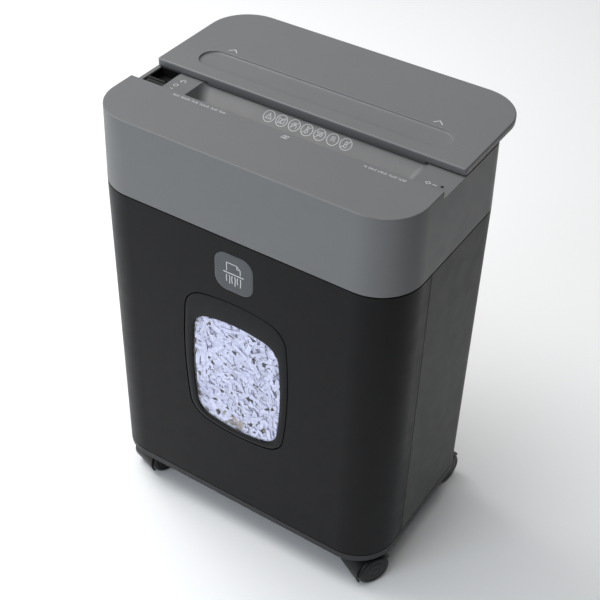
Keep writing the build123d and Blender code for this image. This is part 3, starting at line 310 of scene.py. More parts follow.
# %% Casing finishes
finishes = {
    "head_grey": moulded("head_grey", (0.130, 0.131, 0.132), 0.46, grain=0.5, depth=0.014,
                         drift=0.03, speck=0.06, Specular_IOR_Level=0.35),
    "lid_grey": moulded("lid_grey", (0.136, 0.137, 0.139), 0.43, grain=0.5, depth=0.012,
                        drift=0.03, speck=0.06, Specular_IOR_Level=0.38),
    "lid_inner": moulded("lid_inner", (0.05, 0.05, 0.052), 0.5),
    "cabinet_black": moulded("cabinet_black", (0.043, 0.043, 0.0415), 0.55, grain=0.7,
                             depth=0.02, speck=0.2, drift=0.03, Specular_IOR_Level=0.3),
    "front_black": moulded("front_black", (0.0032, 0.0032, 0.0034), 0.42, grain=0.7,
                           depth=0.02, speck=0.25, drift=0.08, Specular_IOR_Level=0.13),
    "bezel_black": moulded("bezel_black", (0.0034, 0.0034, 0.0037), 0.4, grain=0.7,
                           depth=0.016, speck=0.2, drift=0.08, Specular_IOR_Level=0.15),
    "base_black": moulded("base_black", (0.014, 0.014, 0.0145), 0.5, grain=0.8, depth=0.03,
                          Specular_IOR_Level=0.35),
    "tub_black": moulded("tub_black", (0.013, 0.013, 0.014), 0.45, grain=0.9, depth=0.02),
    "inner_black": moulded("inner_black", (0.014, 0.014, 0.015), 0.55, grain=0.9, depth=0.03),
    "knob_black": moulded("knob_black", (0.006, 0.006, 0.0062), 0.42, grain=0.35, depth=0.01,
                          Specular_IOR_Level=0.3),
    "rail_nylon": moulded("rail_nylon", (0.62, 0.61, 0.56), 0.38, grain=1.2, depth=0.01),
    "gear_nylon": moulded("gear_nylon", (0.72, 0.70, 0.62), 0.4, grain=1.0, depth=0.01),
    "plunger_white": moulded("plunger_white", (0.7, 0.7, 0.67), 0.35, grain=0.8, depth=0.008),
    "fan_plastic": moulded("fan_plastic", (0.03, 0.03, 0.032), 0.35, grain=0.6),
    "switch_body": moulded("switch_body", (0.02, 0.02, 0.022), 0.3, grain=0.5, depth=0.008),
    "caster_hood": moulded("caster_hood", (0.0045, 0.0045, 0.0044), 0.33, grain=0.5, depth=0.005,
                           Specular_IOR_Level=0.22),
    "caster_wheel": moulded("caster_wheel", (0.0045, 0.0045, 0.0046), 0.36, grain=0.6,
                            depth=0.008, Specular_IOR_Level=0.22),
    "lens_dark": moulded("lens_dark", (0.005, 0.006, 0.006), 0.12, grain=0.8, depth=0.001),
    "badge_grey": moulded("badge_grey", (0.040, 0.045, 0.050), 0.4, grain=0.3, depth=0.004,
                          drift=0.05, speck=0.12),
    "print_white": moulded("print_white", (0.47, 0.475, 0.48), 0.6, grain=0.25, depth=0.004),
    "plate_steel": metal("plate_steel", (0.62, 0.63, 0.64), 0.36, (1, 0.35, 1), 260, 0.01, 0.2),
    "rod_steel": metal("rod_steel", (0.66, 0.66, 0.67), 0.24, (0.1, 1, 1), 900),
    "cutter_steel": metal("cutter_steel", (0.36, 0.36, 0.37), 0.3, (0.2, 1, 1), 700, 0.012, 0.2),
    "gear_steel": metal("gear_steel", (0.48, 0.47, 0.46), 0.34, (1, 1, 1), 500, 0.012, 0.2),
    "motor_steel": metal("motor_steel", (0.52, 0.53, 0.55), 0.3, (0.15, 1, 1), 600),
    "bush_brass": metal("bush_brass", (0.72, 0.52, 0.26), 0.3, (0.2, 1, 1), 700),
    "caster_steel": metal("caster_steel", (0.58, 0.58, 0.59), 0.26, (1, 1, 0.1), 900),
}
print(len(finishes), "finishes so far")

# %% [markdown]
# ## Circuit board, paper and clear window
# The board's green lacquer shows the copper under it as a pattern of squares. Paper takes its
# tint from each strip's own colour attribute; a few strips are darker all over, standing for print.
# The window is a thin clear sheet: light passes straight through it, and the share that the
# surface mirrors grows towards grazing angles as 0.04 + 0.86 (1 - cos a)^5, Schlick's rule, so
# it is a clear shader mixed with a glossy one. That rule is the same from both sides of the
# sheet; a full Fresnel term would mirror everything at the inner side, since no ray bends here.


# %% Board, paper and window finishes
def board_finish():
    """Green solder lacquer over tracks: a brick pattern stands for the copper below."""
    made, tree, surface = new_finish("board_green", 0.28, Coat_Weight=0.4)
    place = node(tree, "TexCoord").outputs["Object"]
    tracks = node(tree, "TexBrick", {"Vector": place, "Scale": 160.0, "Mortar Size": 0.03,
                                     "Color1": (0.01, 0.09, 0.035, 1),
                                     "Color2": (0.012, 0.13, 0.05, 1),
                                     "Mortar": (0.02, 0.2, 0.08, 1)})
    tree.links.new(tracks.outputs["Color"], surface.inputs["Base Color"])
    bumped(tree, surface, tracks.outputs["Fac"], 0.03)
    return made


def paper_finish():
    """Shredded office paper: each strip's tint and paper fibre."""
    made, tree, surface = new_finish("paper_white", 0.78, Specular_IOR_Level=0.25)
    tint = node(tree, "Attribute", attribute_name="tint").outputs["Color"]
    fibre = spread(tree, noise(tree, 1500, 3), 0, 1)
    bright = mixed(tree, fibre, (0.90, 0.90, 0.92), (1.0, 1.0, 1.0))
    product = node(tree, "Mix", data_type="RGBA", blend_type="MULTIPLY")
    product.inputs[0].default_value = 1.0
    tree.links.new(tint, product.inputs[6])
    tree.links.new(bright, product.inputs[7])
    tree.links.new(product.outputs[2], surface.inputs["Base Color"])
    bumped(tree, surface, noise(tree, 420, 3), 0.05)
    return made


def window_finish():
    """A clear sheet: straight through, plus a mirror share that grows towards grazing."""
    made, tree, surface = new_finish("window_clear", 0.05)
    surface.inputs["Base Color"].default_value = (0.9, 0.93, 1.0, 1)
    tree.links.new(spread(tree, noise(tree, 40, 3), 0.03, 0.09), surface.inputs["Roughness"])
    clear = node(tree, "BsdfTransparent", {"Color": (0.97, 0.98, 1.0, 1)})
    gloss = node(tree, "BsdfGlossy", {"Color": (1, 1, 1, 1)})
    tree.links.new(spread(tree, noise(tree, 40, 3), 0.03, 0.09), gloss.inputs["Roughness"])
    facing = node(tree, "LayerWeight", {"Blend": 0.5}).outputs["Facing"]
    grazing = node(tree, "Math", {0: facing, 1: 5.0}, operation="POWER").outputs[0]
    both = node(tree, "MixShader", {0: spread(tree, grazing, 0.04, 0.9, 0, 1)})
    tree.links.new(clear.outputs[0], both.inputs[1])
    tree.links.new(gloss.outputs[0], both.inputs[2])
    tree.links.new(both.outputs[0], tree.nodes["Material Output"].inputs["Surface"])
    tree.nodes.remove(surface)
    return made


finishes["board_green"] = board_finish()
finishes["paper_white"] = paper_finish()
finishes["window_clear"] = window_finish()

# %% Put the finishes on the frame
slot_of = {part["node"]: part["material_slot"] for part in frame["record"]["subparts"]}
for name, slot in slot_of.items():
    for place in frame["nodes"][name].material_slots:
        place.material = finishes[slot]
print("finished", len(slot_of), "nodes in", len(set(slot_of.values())), "slots")


# %% [markdown]
# ## Rounded blocks
# Small stiffening ribs, lips and pads are all boxes with softened edges. The plan outline of a
# box is carried up a profile that turns in at its foot and at its top, and a point in the
# middle closes each end.


# %% Rounded block
def closed_by(rows, first, last):
    """Rows of a grid with a one-point row added before the first and after the last."""
    count = rows.shape[1]
    ends = [np.broadcast_to(np.asarray(point, float), (1, count, 3)) for point in (first, last)]
    return np.concatenate([ends[0], rows, ends[1]])


def rounded_block(low, high, radius, steps=3):
    """A box between two corners, its edges rounded: plan outline carried up a profile."""
    (x0, y0, z0), (x1, y1, z1) = low, high
    outline = rounded_path([(x0, y0), (x1, y0), (x1, y1), (x0, y1)], [radius] * 4, steps)
    foot = corner_arc(radius, 270, 360, steps, (0, z0 + radius))
    top = corner_arc(radius, 0, 90, steps, (0, z1 - radius))
    profile = np.concatenate([foot, top])
    profile[:, 0] = radius - profile[:, 0]
    rows = carried(profile, *outline)
    middle = ((x0 + x1) / 2, (y0 + y1) / 2)
    return grid(closed_by(rows, (*middle, z0), (*middle, z1)), wrap_cols=True)


def node_box(name):
    """A frame node's lowest and highest corners, in millimetres."""
    low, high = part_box(name)
    return np.array(low) / MM, np.array(high) / MM


# %% [markdown]
# ## The sliding lid
# The real lid is one thin moulding: a flat plate with a turned-down rim, a shallow trough for
# the fingertips and a hollow underside. It could be cut from a solid with booleans, but a
# moulding has even walls, so here one skin is drawn from the middle of the trough outwards,
# round the rim and back underneath. Every ring of points is either a trough ring, measured
# from the trough's spine, or a rim ring, measured in from the outline. The trough's flat floor
# is convex, so a fan to its middle point closes it, above and below.

# %% Lid outline and trough
lid_low, lid_high = node_box("slide_lid")
lid_thickness = 7.2
lid_top, lid_under = lid_high[2], lid_high[2] - lid_thickness
lid_corner, lid_front_corner, lid_skin, lid_wall = 46.0, 3.0, 2.4, 2.5
trough_half, trough_depth, trough_spine = 16.5, 2.4, 127.5
trough_y = lid_low[1] + 33.0
lid_corners = [(lid_low[0], lid_low[1]), (lid_high[0], lid_low[1]),
               (lid_high[0], lid_high[1]), (lid_low[0], lid_high[1])]
lid_radii = [lid_front_corner, lid_front_corner, lid_corner, lid_corner]
lid_path, lid_out = rounded_path(lid_corners, lid_radii, arc_steps=24)
lid_path, lid_out = divide(lid_path, lid_out, 3.0)
spine = np.stack([np.clip(lid_path[:, 0], -trough_spine, trough_spine),
                  np.full(len(lid_path), trough_y)], 1)
from_spine = lid_path - spine
from_spine /= np.linalg.norm(from_spine, axis=1, keepdims=True)


def lid_ring(kind, distance, height):
    """One ring of the lid: out from the trough's spine, or in from the outline."""
    flat = spine + from_spine * distance if kind == "trough" else lid_path - lid_out * distance
    return np.concatenate([flat, np.full((len(flat), 1), height)], 1)


def lid_rings(kind, rows):
    return [lid_ring(kind, distance, height) for distance, height in rows]


# %% Lid skin
floor_z = lid_top - trough_depth
trough_foot = corner_arc(1.7, 270, 360, 5, (trough_half - 2.2, floor_z + 1.7))
trough_lip = corner_arc(0.5, 180, 90, 3, (trough_half, lid_top - 0.5))
rim_edge = corner_arc(1.5, 90, 0, 6, (-1.5, lid_top - 1.5)) * (-1, 1)
rim_foot = corner_arc(0.5, 0, -90, 3, (-0.5, lid_under + 0.5)) * (-1, 1)
under_z = lid_top - lid_skin
rings = (
    lid_rings("trough", [(8, floor_z), *trough_foot, *trough_lip,
                         (trough_half + 0.8, lid_top)])
    + lid_rings("rim", [(2.2, lid_top), *rim_edge, *rim_foot, (lid_wall, lid_under),
                        (lid_wall, under_z - 0.8), (lid_wall + 0.3, under_z)])
    + lid_rings("trough", [(trough_half + 2.8, under_z), (trough_half + 2.4, under_z - 0.4),
                           (trough_half + 2.4, floor_z - lid_skin + 0.4),
                           (trough_half + 2.0, floor_z - lid_skin), (8, floor_z - lid_skin)]))
trough_middle = [(0, trough_y, floor_z), (0, trough_y, floor_z - lid_skin)]
lid_grids = [grid(closed_by(np.stack(rings), *trough_middle), wrap_cols=True)]

# %% [markdown]
# Under the plate the moulding has stiffening ribs, two pads over its runners and a lip along
# its front that reaches down into the feed chute. They are separate rounded blocks that run
# into the skin, as ribs do.

# %% Lid ribs, pads and lip
runner_low, runner_high = node_box("lid_runners")
rib_rear, rib_length, rib_pitch = lid_high[1] - 5, 80.0, 56.0
for count in range(-2, 3):
    x = count * rib_pitch
    lid_grids.append(rounded_block((x - 1, rib_rear - rib_length, lid_under + 0.2),
                                   (x + 1, rib_rear, under_z + 0.5), 0.4))
for side in (-1, 1):
    x = side * (runner_high[0] - 5)
    lid_grids.append(rounded_block((x - 6, runner_low[1], lid_under + 0.02),
                                   (x + 6, runner_high[1], under_z + 0.5), 0.5))
lip_left, lip_right = -113.0, 134.0
lid_grids.append(rounded_block((lip_left, lid_low[1] + 0.7, lid_low[2] + 0.02),
                               (lip_right, lid_low[1] + 2.9, under_z + 0.5), 0.8, 4))
piece("sliding_lid", lid_grids, "lid", finishes["lid_grey"], ["slide_lid"])

# %% [markdown]
# ## Shield-shaped outlines
# The bezel and the window share one kind of outline: four sides that bow outwards a little,
# with generous corners. Each side is a piece of a large circle. A corner arc that touches two
# such circles has its centre where circles smaller by the corner's radius cross, so the whole
# outline is circles, and its outward directions are radii.


# %% Shield outline
def circle_through(a, b, c):
    """Centre and radius of the circle through three points."""
    chords = 2 * np.array([b - a, c - a])
    centre = np.linalg.solve(chords, [b @ b - a @ a, c @ c - a @ a])
    return centre, np.linalg.norm(a - centre)


def arc_between(centre, start, stop, steps):
    """Points and radial directions along the shorter way round a circle."""
    spoke = start - centre
    radius = np.linalg.norm(spoke)
    first = math.atan2(spoke[1], spoke[0])
    turn = math.atan2(stop[1] - centre[1], stop[0] - centre[0]) - first
    turn = (turn + math.pi) % (2 * math.pi) - math.pi
    angle = first + np.linspace(0, turn, steps, endpoint=False)
    outward = np.stack([np.cos(angle), np.sin(angle)], 1)
    return centre + radius * outward, outward


def shield(half_top, half_bottom, half_middle, bottom, top, crown, corner, steps=(12, 20)):
    """A bowed four-sided outline with round corners, seen from the front, anticlockwise."""
    middle = (bottom + top) / 2
    tips = np.array([(-half_bottom, bottom + crown), (half_bottom, bottom + crown),
                     (half_top, top - crown), (-half_top, top - crown)], float)
    bows = np.array([(0, bottom), (half_middle, middle), (0, top), (-half_middle, middle)], float)
    sides = [circle_through(tips[k], bows[k], tips[(k + 1) % 4]) for k in range(4)]
    corners = []
    for k in range(4):
        (c1, r1), (c2, r2) = sides[k - 1], sides[k]
        r1, r2, across = r1 - corner, r2 - corner, c2 - c1
        gap = np.linalg.norm(across)
        along = (r1 ** 2 - r2 ** 2 + gap ** 2) / (2 * gap)
        off = math.sqrt(r1 ** 2 - along ** 2) * np.array([-across[1], across[0]]) / gap
        foot = c1 + along * across / gap
        corners.append(min(foot + off, foot - off, key=lambda p: np.linalg.norm(p - tips[k])))
    points, outward = [], []
    for k in range(4):
        (c1, r1), (c2, r2) = sides[k - 1], sides[k]
        here, after = corners[k], corners[(k + 1) % 4]
        enter = c1 + (here - c1) * r1 / np.linalg.norm(here - c1)
        leave = c2 + (here - c2) * r2 / np.linalg.norm(here - c2)
        onward = c2 + (after - c2) * r2 / np.linalg.norm(after - c2)
        for centre, start, stop, count in ((here, enter, leave, steps[0]),
                                           (c2, leave, onward, steps[1])):
            p, n = arc_between(centre, start, stop, count)
            points.append(p)
            outward.append(n)
    return np.concatenate(points), np.concatenate(outward)


front_y = node_box("window_bezel")[0][1]
bezel_path, bezel_out = shield(half_top=59, half_bottom=57, half_middle=64, bottom=156.5,
                               top=341.5, crown=9, corner=27)
window_path, window_out = shield(half_top=50, half_bottom=48.6, half_middle=54.4,
                                 bottom=163.6, top=312.4, crown=8.5, corner=22)
print("bezel outline", len(bezel_path), "points; window", np.ptp(window_path, 0).round(1), "mm")

# %% [markdown]
# ## The window's bezel
# The bezel is a flush frame with a softened outer edge and a rolled inner edge, wider above the
# window than beside it. Both outlines have the same number of points, so a ring of the frame
# can follow the outer one, follow the inner one, or lie any part of the way between them. One
# closed tube of such rings makes the whole moulding, with the ledge that holds the clear sheet.

# %% Bezel
def front_ring(path, outward, inset, depth):
    """A ring that follows a front outline, set in from it, at a depth behind the front face."""
    flat = path - outward * inset
    return np.stack([flat[:, 0], np.full(len(flat), front_y + depth), flat[:, 1]], 1)


def follow(path, outward, rows):
    return [front_ring(path, outward, inset, depth) for inset, depth in rows]


outer_roll = corner_arc(1.1, 180, 90, 5, (1.1, 1.1)) * (1, -1) + (0, 2.2)
inner_roll = corner_arc(1.8, 90, 0, 6, (-1.8, 1.8)) * (1, -1) + (0, 3.6)
face_steps = np.linspace(0.06, 0.94, 9)
outer_edge = front_ring(bezel_path, bezel_out, 1.1, 0)
inner_edge = front_ring(window_path, window_out, -1.8, 0)
pillow = 0.35
face = [outer_edge * (1 - t) + inner_edge * t - (0, pillow * 4 * t * (1 - t), 0)
        for t in face_steps]
bezel_rings = (
    follow(bezel_path, bezel_out, [(-4, 5.0), (-4, 3.05), (0, 3.05), *outer_roll])
    + face
    + follow(window_path, window_out, [*inner_roll, (0, 2.0), (-3.2, 2.0), (-3.2, 5.0)]))
piece("window_frame", [grid(np.stack(bezel_rings), wrap_rows=True, wrap_cols=True)],
      "bin", finishes["bezel_black"], ["window_bezel"])

# %% [markdown]
# ## The clear window
# The window is a thin clear sheet that bulges a little towards the user, with a step round it
# that sits behind the bezel. The bulge is a paraboloid over the outline: nothing at the rim,
# most in the middle. A rounded shoulder catches the light along its lower and left edges.

# %% Clear window
window_middle = np.array([0.0, (window_path[:, 1].min() + window_path[:, 1].max()) / 2])
bulge, sheet = 1.1, 1.5


def dome(share, depth):
    """The outline shrunk towards its middle by a share, bulged by what that leaves."""
    flat = window_middle + (window_path - window_out * 0.9 - window_middle) * share
    return np.stack([flat[:, 0], np.full(len(flat), front_y + depth - bulge * (1 - share ** 2)),
                     flat[:, 1]], 1)


shoulder = corner_arc(0.6, 180, 90, 4, (0.9, 0.6)) * (1, -1) + (0, 1.2 + 0.9)
shares = np.linspace(1, 0.04, 14)
sheet_rings = (
    follow(window_path, window_out, [(-2.8, 3.6), (-2.8, 2.1), (0.25, 2.1), *shoulder[1:]])
    + [dome(share, shoulder[-1][1]) for share in shares]
    + [dome(share, shoulder[-1][1] + sheet) for share in shares[::-1]]
    + follow(window_path, window_out, [(0.2, 3.6)]))
front_point = (0, front_y + shoulder[-1][1] - bulge, window_middle[1])
window_rows = np.stack(sheet_rings)
half = 3 + len(shoulder) - 1 + len(shares)
outside = closed_by(window_rows[:half], window_rows[0].mean(0), front_point)[1:]
inside = closed_by(window_rows[half:], np.add(front_point, (0, sheet, 0)), front_point)[:-1]
loop = np.concatenate([inside[-1:], outside[:1]])
piece("clear_window", [grid(outside, wrap_cols=True), grid(inside, wrap_cols=True),
                       grid(loop, wrap_cols=True)],
      "bin", finishes["window_clear"], ["window_lens"])

# %% [markdown]
# ## Shredded paper
# Behind the window the bin is packed with cross-cut strips. Each strip is a ribbon: its middle
# line bends at a steady rate, so it is part of a circle, and its width turns slowly about that
# line. All strips are worked out at once: arrays of starts, directions, bends and twists give
# an array of ribbons, steps and edges. Each strip has its own tint.


# %% Ribbons
draw = np.random.default_rng(11)


def directions(count, flatness):
    """Random unit directions, pressed towards the plane of the window by a factor."""
    raw = draw.normal(size=(count, 3)) * (1, flatness, 1)
    return raw / np.linalg.norm(raw, axis=1, keepdims=True)


def ribbons(middles, flatness, lengths, widths, curl, steps=9):
    """Bent, twisted strips round the given middles, as an array (strips, steps, 2, 3).

    With t the start direction and n its normal, the direction after an arc s is
    t cos(ks) + n sin(ks); the middle line is the running sum of that.
    """
    count = len(middles)
    along = directions(count, flatness)
    normal = np.cross(along, directions(count, 1.0))
    normal = normal * (1, 1 / flatness, 1)
    normal -= along * (normal * along).sum(1, keepdims=True)
    normal /= np.linalg.norm(normal, axis=1, keepdims=True)
    length = draw.uniform(*lengths, count)[:, None, None]
    bend = draw.normal(0, curl, count)[:, None, None]
    twist = draw.normal(0, curl, count)[:, None, None]
    arc = (np.linspace(-0.5, 0.5, steps)[None, :, None]) * length
    t, n = along[:, None], normal[:, None]
    heading = t * np.cos(bend * arc) + n * np.sin(bend * arc)
    rising = n * np.cos(bend * arc) - t * np.sin(bend * arc)
    line = np.cumsum(heading, 1) * length / (steps - 1)
    line = line - line.mean(1, keepdims=True) + middles[:, None]
    across = np.cross(t, n) * np.cos(twist * arc) + rising * np.sin(twist * arc)
    half = draw.uniform(*widths, count)[:, None, None] / 2
    return np.stack([line - across * half, line + across * half], 2)


def strip_grid(strips):
    """Ribbons as one set of vertices and faces."""
    count, steps = strips.shape[:2]
    one = quads(steps, 2)
    faces = (one[None] + (np.arange(count) * steps * 2)[:, None, None]).reshape(-1, 4)
    return strips.reshape(-1, 3), faces


# %% Strips behind the window and over the heap
window_half, window_foot, window_head = 52.0, 163.2, 313.0
front_count, heap_count = 1500, 1900
front_middles = np.stack([draw.uniform(-window_half, window_half, front_count),
                          -104.6 + draw.beta(1.1, 1.5, front_count) * 9,
                          draw.uniform(window_foot, window_head, front_count)], 1)
front_strips = ribbons(front_middles, 0.16, (24, 46), (3.8, 6.4), 0.008)
side_limit = window_half + 1.5 - 2.5 * np.abs(front_strips[..., 2] - 250) / 70
front_strips[..., 0] = np.clip(front_strips[..., 0], -side_limit, side_limit)
front_strips = np.clip(front_strips, (-55, -105.2, window_foot - 1), (55, -88, window_head))

heap_line = np.array([(-97, 322), (-90, 328), (-82, 306), (-66, 180), (-56, 78)], float)
along_heap = draw.uniform(0, 1, heap_count) ** 0.8 * (len(heap_line) - 1)
knot = np.minimum(along_heap.astype(int), len(heap_line) - 2)
part = (along_heap - knot)[:, None]
heap_yz = heap_line[knot] * (1 - part) + heap_line[knot + 1] * part
heap_middles = np.column_stack([draw.uniform(-108, 108, heap_count),
                                heap_yz + draw.normal(0, 2.2, (heap_count, 2))])
heap_strips = ribbons(heap_middles, 0.8, (20, 42), (3.4, 4.8), 0.022)
heap_strips = np.clip(heap_strips, (-117, -98.5, 71), (117, -46, 333))


# %% Core of the heap
def heap_core(columns=90):
    """A lumpy closed body inside the strips, so that no light passes between them.

    Its front swells into the window's opening, by a product of three ramps: across, up, down.
    """
    outline = np.array([(-97, 70.5), (-97, 190), (-97, 308), (-92, 320), (-86, 300),
                        (-70, 180), (-60, 80), (-58, 70.5)], float)
    outline = np.concatenate([np.linspace(a, b, 20, endpoint=False)
                              for a, b in zip(outline, np.roll(outline, -1, 0))])
    x = np.linspace(-114, 114, columns)
    lump = 1.6 * (np.sin(x[:, None] * 0.31 + outline[None, :, 1] * 0.12)
                  + np.sin(x[:, None] * 0.17 - outline[None, :, 1] * 0.23))
    lump = lump * (outline[None, :, 1] > 71)
    swell = (np.clip((49 - np.abs(x[:, None])) / 4, 0, 1)
             * np.clip((outline[None, :, 1] - 167) / 5, 0, 1)
             * np.clip((309 - outline[None, :, 1]) / 5, 0, 1) * (outline[None, :, 0] < -96.5))
    depth = outline[None, :, 0] + lump * 0.5 * (1 - swell * 0.5) - 4.2 * swell
    rows = np.stack([np.broadcast_to(x[:, None], lump.shape), depth,
                     outline[None, :, 1] + lump], 2)
    ends = (-114, *outline.mean(0)), (114, *outline.mean(0))
    return grid(closed_by(rows, *ends), wrap_cols=True)


# %% One heap of paper
sheet_white = np.array([0.77, 0.76, 0.90])
# The core is tinted darker than the strips: painted shade for the paper deep in the heap, seen in the gaps between
# strips.
core_painted_shade = np.array([0.58, 0.58, 0.72])


def strip_tints(strips):
    """A tint for each strip: near white, some greyer, a few brown ones low in the window."""
    count = len(strips)
    tone = np.clip(draw.normal(0.97, 0.07, count), 0.6, 1.04)[:, None]
    tints = sheet_white * tone
    low_down = strips[..., 2].mean((1, 2)) < 178
    brown = low_down & (draw.uniform(size=count) < 0.18)
    tints[brown] = np.array([0.36, 0.30, 0.25]) * draw.uniform(0.6, 1.2, (brown.sum(), 1))
    printed = draw.uniform(size=count) < 0.05
    tints[printed] *= 0.7
    return np.repeat(tints, strips.shape[1] * 2, 0)


core = heap_core()
# Strip tints are the paper's own colours; the core's darker tint is painted shade.
paper_tints = np.concatenate([strip_tints(front_strips), strip_tints(heap_strips),
                              np.broadcast_to(core_painted_shade, (len(core[0]), 3))])
piece("shredded_paper", [strip_grid(front_strips), strip_grid(heap_strips), core],
      "bin", finishes["paper_white"], ["paper_shreds"], tints=paper_tints)

# %% [markdown]
# ## Badge on the front
# A thin squarish plate with very round corners and a softly domed edge sits above the window.
# Its mark is a plain drawing: a sheet of paper that ends in strips.


# %% Badge
badge_low, badge_high = node_box("front_badge")
badge_middle = (badge_low + badge_high)[[0, 2]] / 2
badge_half = (badge_high - badge_low)[0] / 2
badge_corners = [badge_middle + badge_half * np.array(c)
                 for c in ((-1, -1), (1, -1), (1, 1), (-1, 1))]
badge_corner = 14
badge_path, badge_out = rounded_path(badge_corners, [badge_corner] * 4)
badge_path, badge_out = divide(badge_path, badge_out, 4)
badge_depth = badge_low[1] - front_y
badge_rows = follow(badge_path, badge_out, [
    (0, badge_high[1] - front_y), (0, badge_depth + 0.7), (0.2, badge_depth + 0.36),
    (0.7, badge_depth + 0.16), (1.6, badge_depth + 0.05), (3.0, badge_depth),
    (6, badge_depth), (11, badge_depth), (13.5, badge_depth)])
badge_back = (badge_middle[0], badge_high[1], badge_middle[1])
badge_face = (badge_middle[0], badge_low[1], badge_middle[1])
piece("badge_plate", [grid(closed_by(np.stack(badge_rows), badge_back, badge_face),
                           wrap_cols=True)],
      "bin", finishes["badge_grey"], ["front_badge"])

# %% [markdown]
# ## Printed marks
# The deck, the chute's slope and the lid carry small white printed marks: rings that show what
# may and may not be fed in, ticks, arrows. A mark is ink, so it is drawn as strokes a tenth of
# a millimetre thick on a plane: a point, two directions across it and the direction out.


# %% Strokes
INK = 0.07


class Plane:
    """A place to print on: drawing coordinates (u, v) in millimetres to points in space."""

    def __init__(self, origin, u, v):
        self.origin, self.u, self.v = (np.array(a, float) for a in (origin, u, v))
        self.out = np.cross(self.u, self.v)

    def at(self, uv, lift):
        uv = np.asarray(uv, float)
        return (self.origin + uv[..., :1] * self.u + uv[..., 1:] * self.v + self.out * lift)


def stroke(plane, points, width=0.5, closed=False):
    """A pen line along points: four edges carried along it, brought to a point at open ends."""
    points = np.asarray(points, float)
    ahead = np.roll(points, -1, 0) - points
    behind = points - np.roll(points, 1, 0)
    if not closed:
        ahead[-1], behind[0] = behind[-1], ahead[0]
    ahead /= np.linalg.norm(ahead, axis=1, keepdims=True)
    behind /= np.linalg.norm(behind, axis=1, keepdims=True)
    mean = ahead + behind
    mean /= np.linalg.norm(mean, axis=1, keepdims=True)
    side = np.stack([-mean[:, 1], mean[:, 0]], 1)
    side = side * (width / 2) / np.maximum((mean * ahead).sum(1, keepdims=True), 0.5)
    left, right_ = points + side, points - side
    edges = np.stack([plane.at(left, -0.05), plane.at(left, INK),
                      plane.at(right_, INK), plane.at(right_, -0.05)])
    if not closed:
        first = np.broadcast_to(plane.at(points[:1], INK / 2), (4, 1, 3))
        last = np.broadcast_to(plane.at(points[-1:], INK / 2), (4, 1, 3))
        edges = np.concatenate([first, edges, last], 1)
    return grid(edges, wrap_rows=True, wrap_cols=closed)


def ring(middle, radius, start=0, stop=360, steps=36):
    """Points round a circle or along part of one."""
    full = stop - start == 360
    angle = np.radians(np.linspace(start, stop, steps, endpoint=not full))
    return np.stack([middle[0] + radius * np.cos(angle), middle[1] + radius * np.sin(angle)], 1)


# %% Rings on the chute's slope
slope_rise, slope_run = 27.5, 39.0
slope_v = np.array([0, slope_run, slope_rise]) / math.hypot(slope_run, slope_rise)
ring_places = (-34.9, -20.4, -5.7, 8.7, 23.2, 37.9, 52.5)
ring_y = 2.8
slope_foot_y, slope_foot_z = -25, 469
ring_z = slope_foot_z + (ring_y - slope_foot_y) * slope_rise / slope_run
drawings = [
    [([(-3.6, -2.6), (3.6, -2.6), (0, 3.6)], True), ([(0, 1.4), (0, -0.6)], False),
     ([(0, -1.3), (0, -1.8)], False)],
    [([(-3.6, -2.6), (-3.6, 2.4), (0, 1.6), (0, -3.4)], True),
     ([(0, 1.6), (3.6, 2.4), (3.6, -2.6), (0, -3.4)], False)],
    [([(-3, -3), (-3, 1), (-1, 1), (-1, 3.4)], False),
     ([(0.6, 3.4), (0.6, 0), (2.8, 0), (2.8, -3)], False), ([(-4, -4), (4, 4)], False)],
    [([(-1, 4), (1, 4), (0.6, 2.2), (1.8, -2.4), (0, -4), (-1.8, -2.4), (-0.6, 2.2)], True)],
    [([(-3.2, -1.2), (2, -1.2), (3, 0), (2, 1.2), (-3, 1.2), (-3.8, 2.2), (-3, 3),
       (2.6, 3)], False)],
    [(ring((0, -1), 2.4, 20, 160, 9), False), (ring((0, -3), 2.4, 20, 160, 9), False),
     (ring((0, 1), 2.4, 20, 160, 9), False)],
    [([(-1.4, -3.8), (-1.4, 1.2), (-0.6, 2.2), (0.6, 2.2), (1.4, 1.2), (1.4, -3.8)], True),
     ([(-0.5, 2.6), (-0.5, 3.4), (0.5, 3.4)], False), ([(2, 3.6), (3.6, 4.0)], False)],
]
deck_marks = []
for count, (x, lines) in enumerate(zip(ring_places, drawings)):
    slope = Plane((x, ring_y, ring_z), (1, 0, 0), slope_v)
    deck_marks.append(stroke(slope, ring((0, 0), 6.1), 0.7, True))
    deck_marks += [stroke(slope, np.array(line) * 0.92, 0.55, closed) for line, closed in lines]
    if count in (1, 3, 4, 6):
        deck_marks.append(stroke(slope, [(-4.3, -4.3), (4.3, 4.3)], 0.6))

# %% Marks on the deck
deck_z, lower_deck_z = 505, 496.5
deck = Plane((0, 0, deck_z), (1, 0, 0), (0, 1, 0))
lower_deck = Plane((0, 0, lower_deck_z), (1, 0, 0), (0, 1, 0))
for x in (9.4, 12.6):
    sheet_corners = [(x, -43.6), (x + 2.2, -43.6), (x + 3.2, -38.8), (x + 1.0, -38.8)]
    deck_marks.append(stroke(deck, sheet_corners, 0.5, True))


def ticks(plane, start, stop, v, pitch, heights, pen):
    """A row of fine upright ticks whose heights repeat, like the scale on a ruler."""
    made = []
    for turn, x in enumerate(np.arange(start, stop, pitch)):
        height = heights[turn % len(heights)]
        if height:
            lean = 0.18 * height
            made.append(stroke(plane, [(x, v - 1.2), (x + lean, v - 1.2 + height)], pen))
            if turn % 2:
                made.append(stroke(plane, [(x, v - 1.2), (x + pitch * 0.7, v - 1.2)], pen))
            if turn % 3 == 1:
                made.append(stroke(plane, [(x + lean, v - 1.2 + height),
                                           (x + pitch * 0.7, v - 1.2 + height)], pen))
    return made


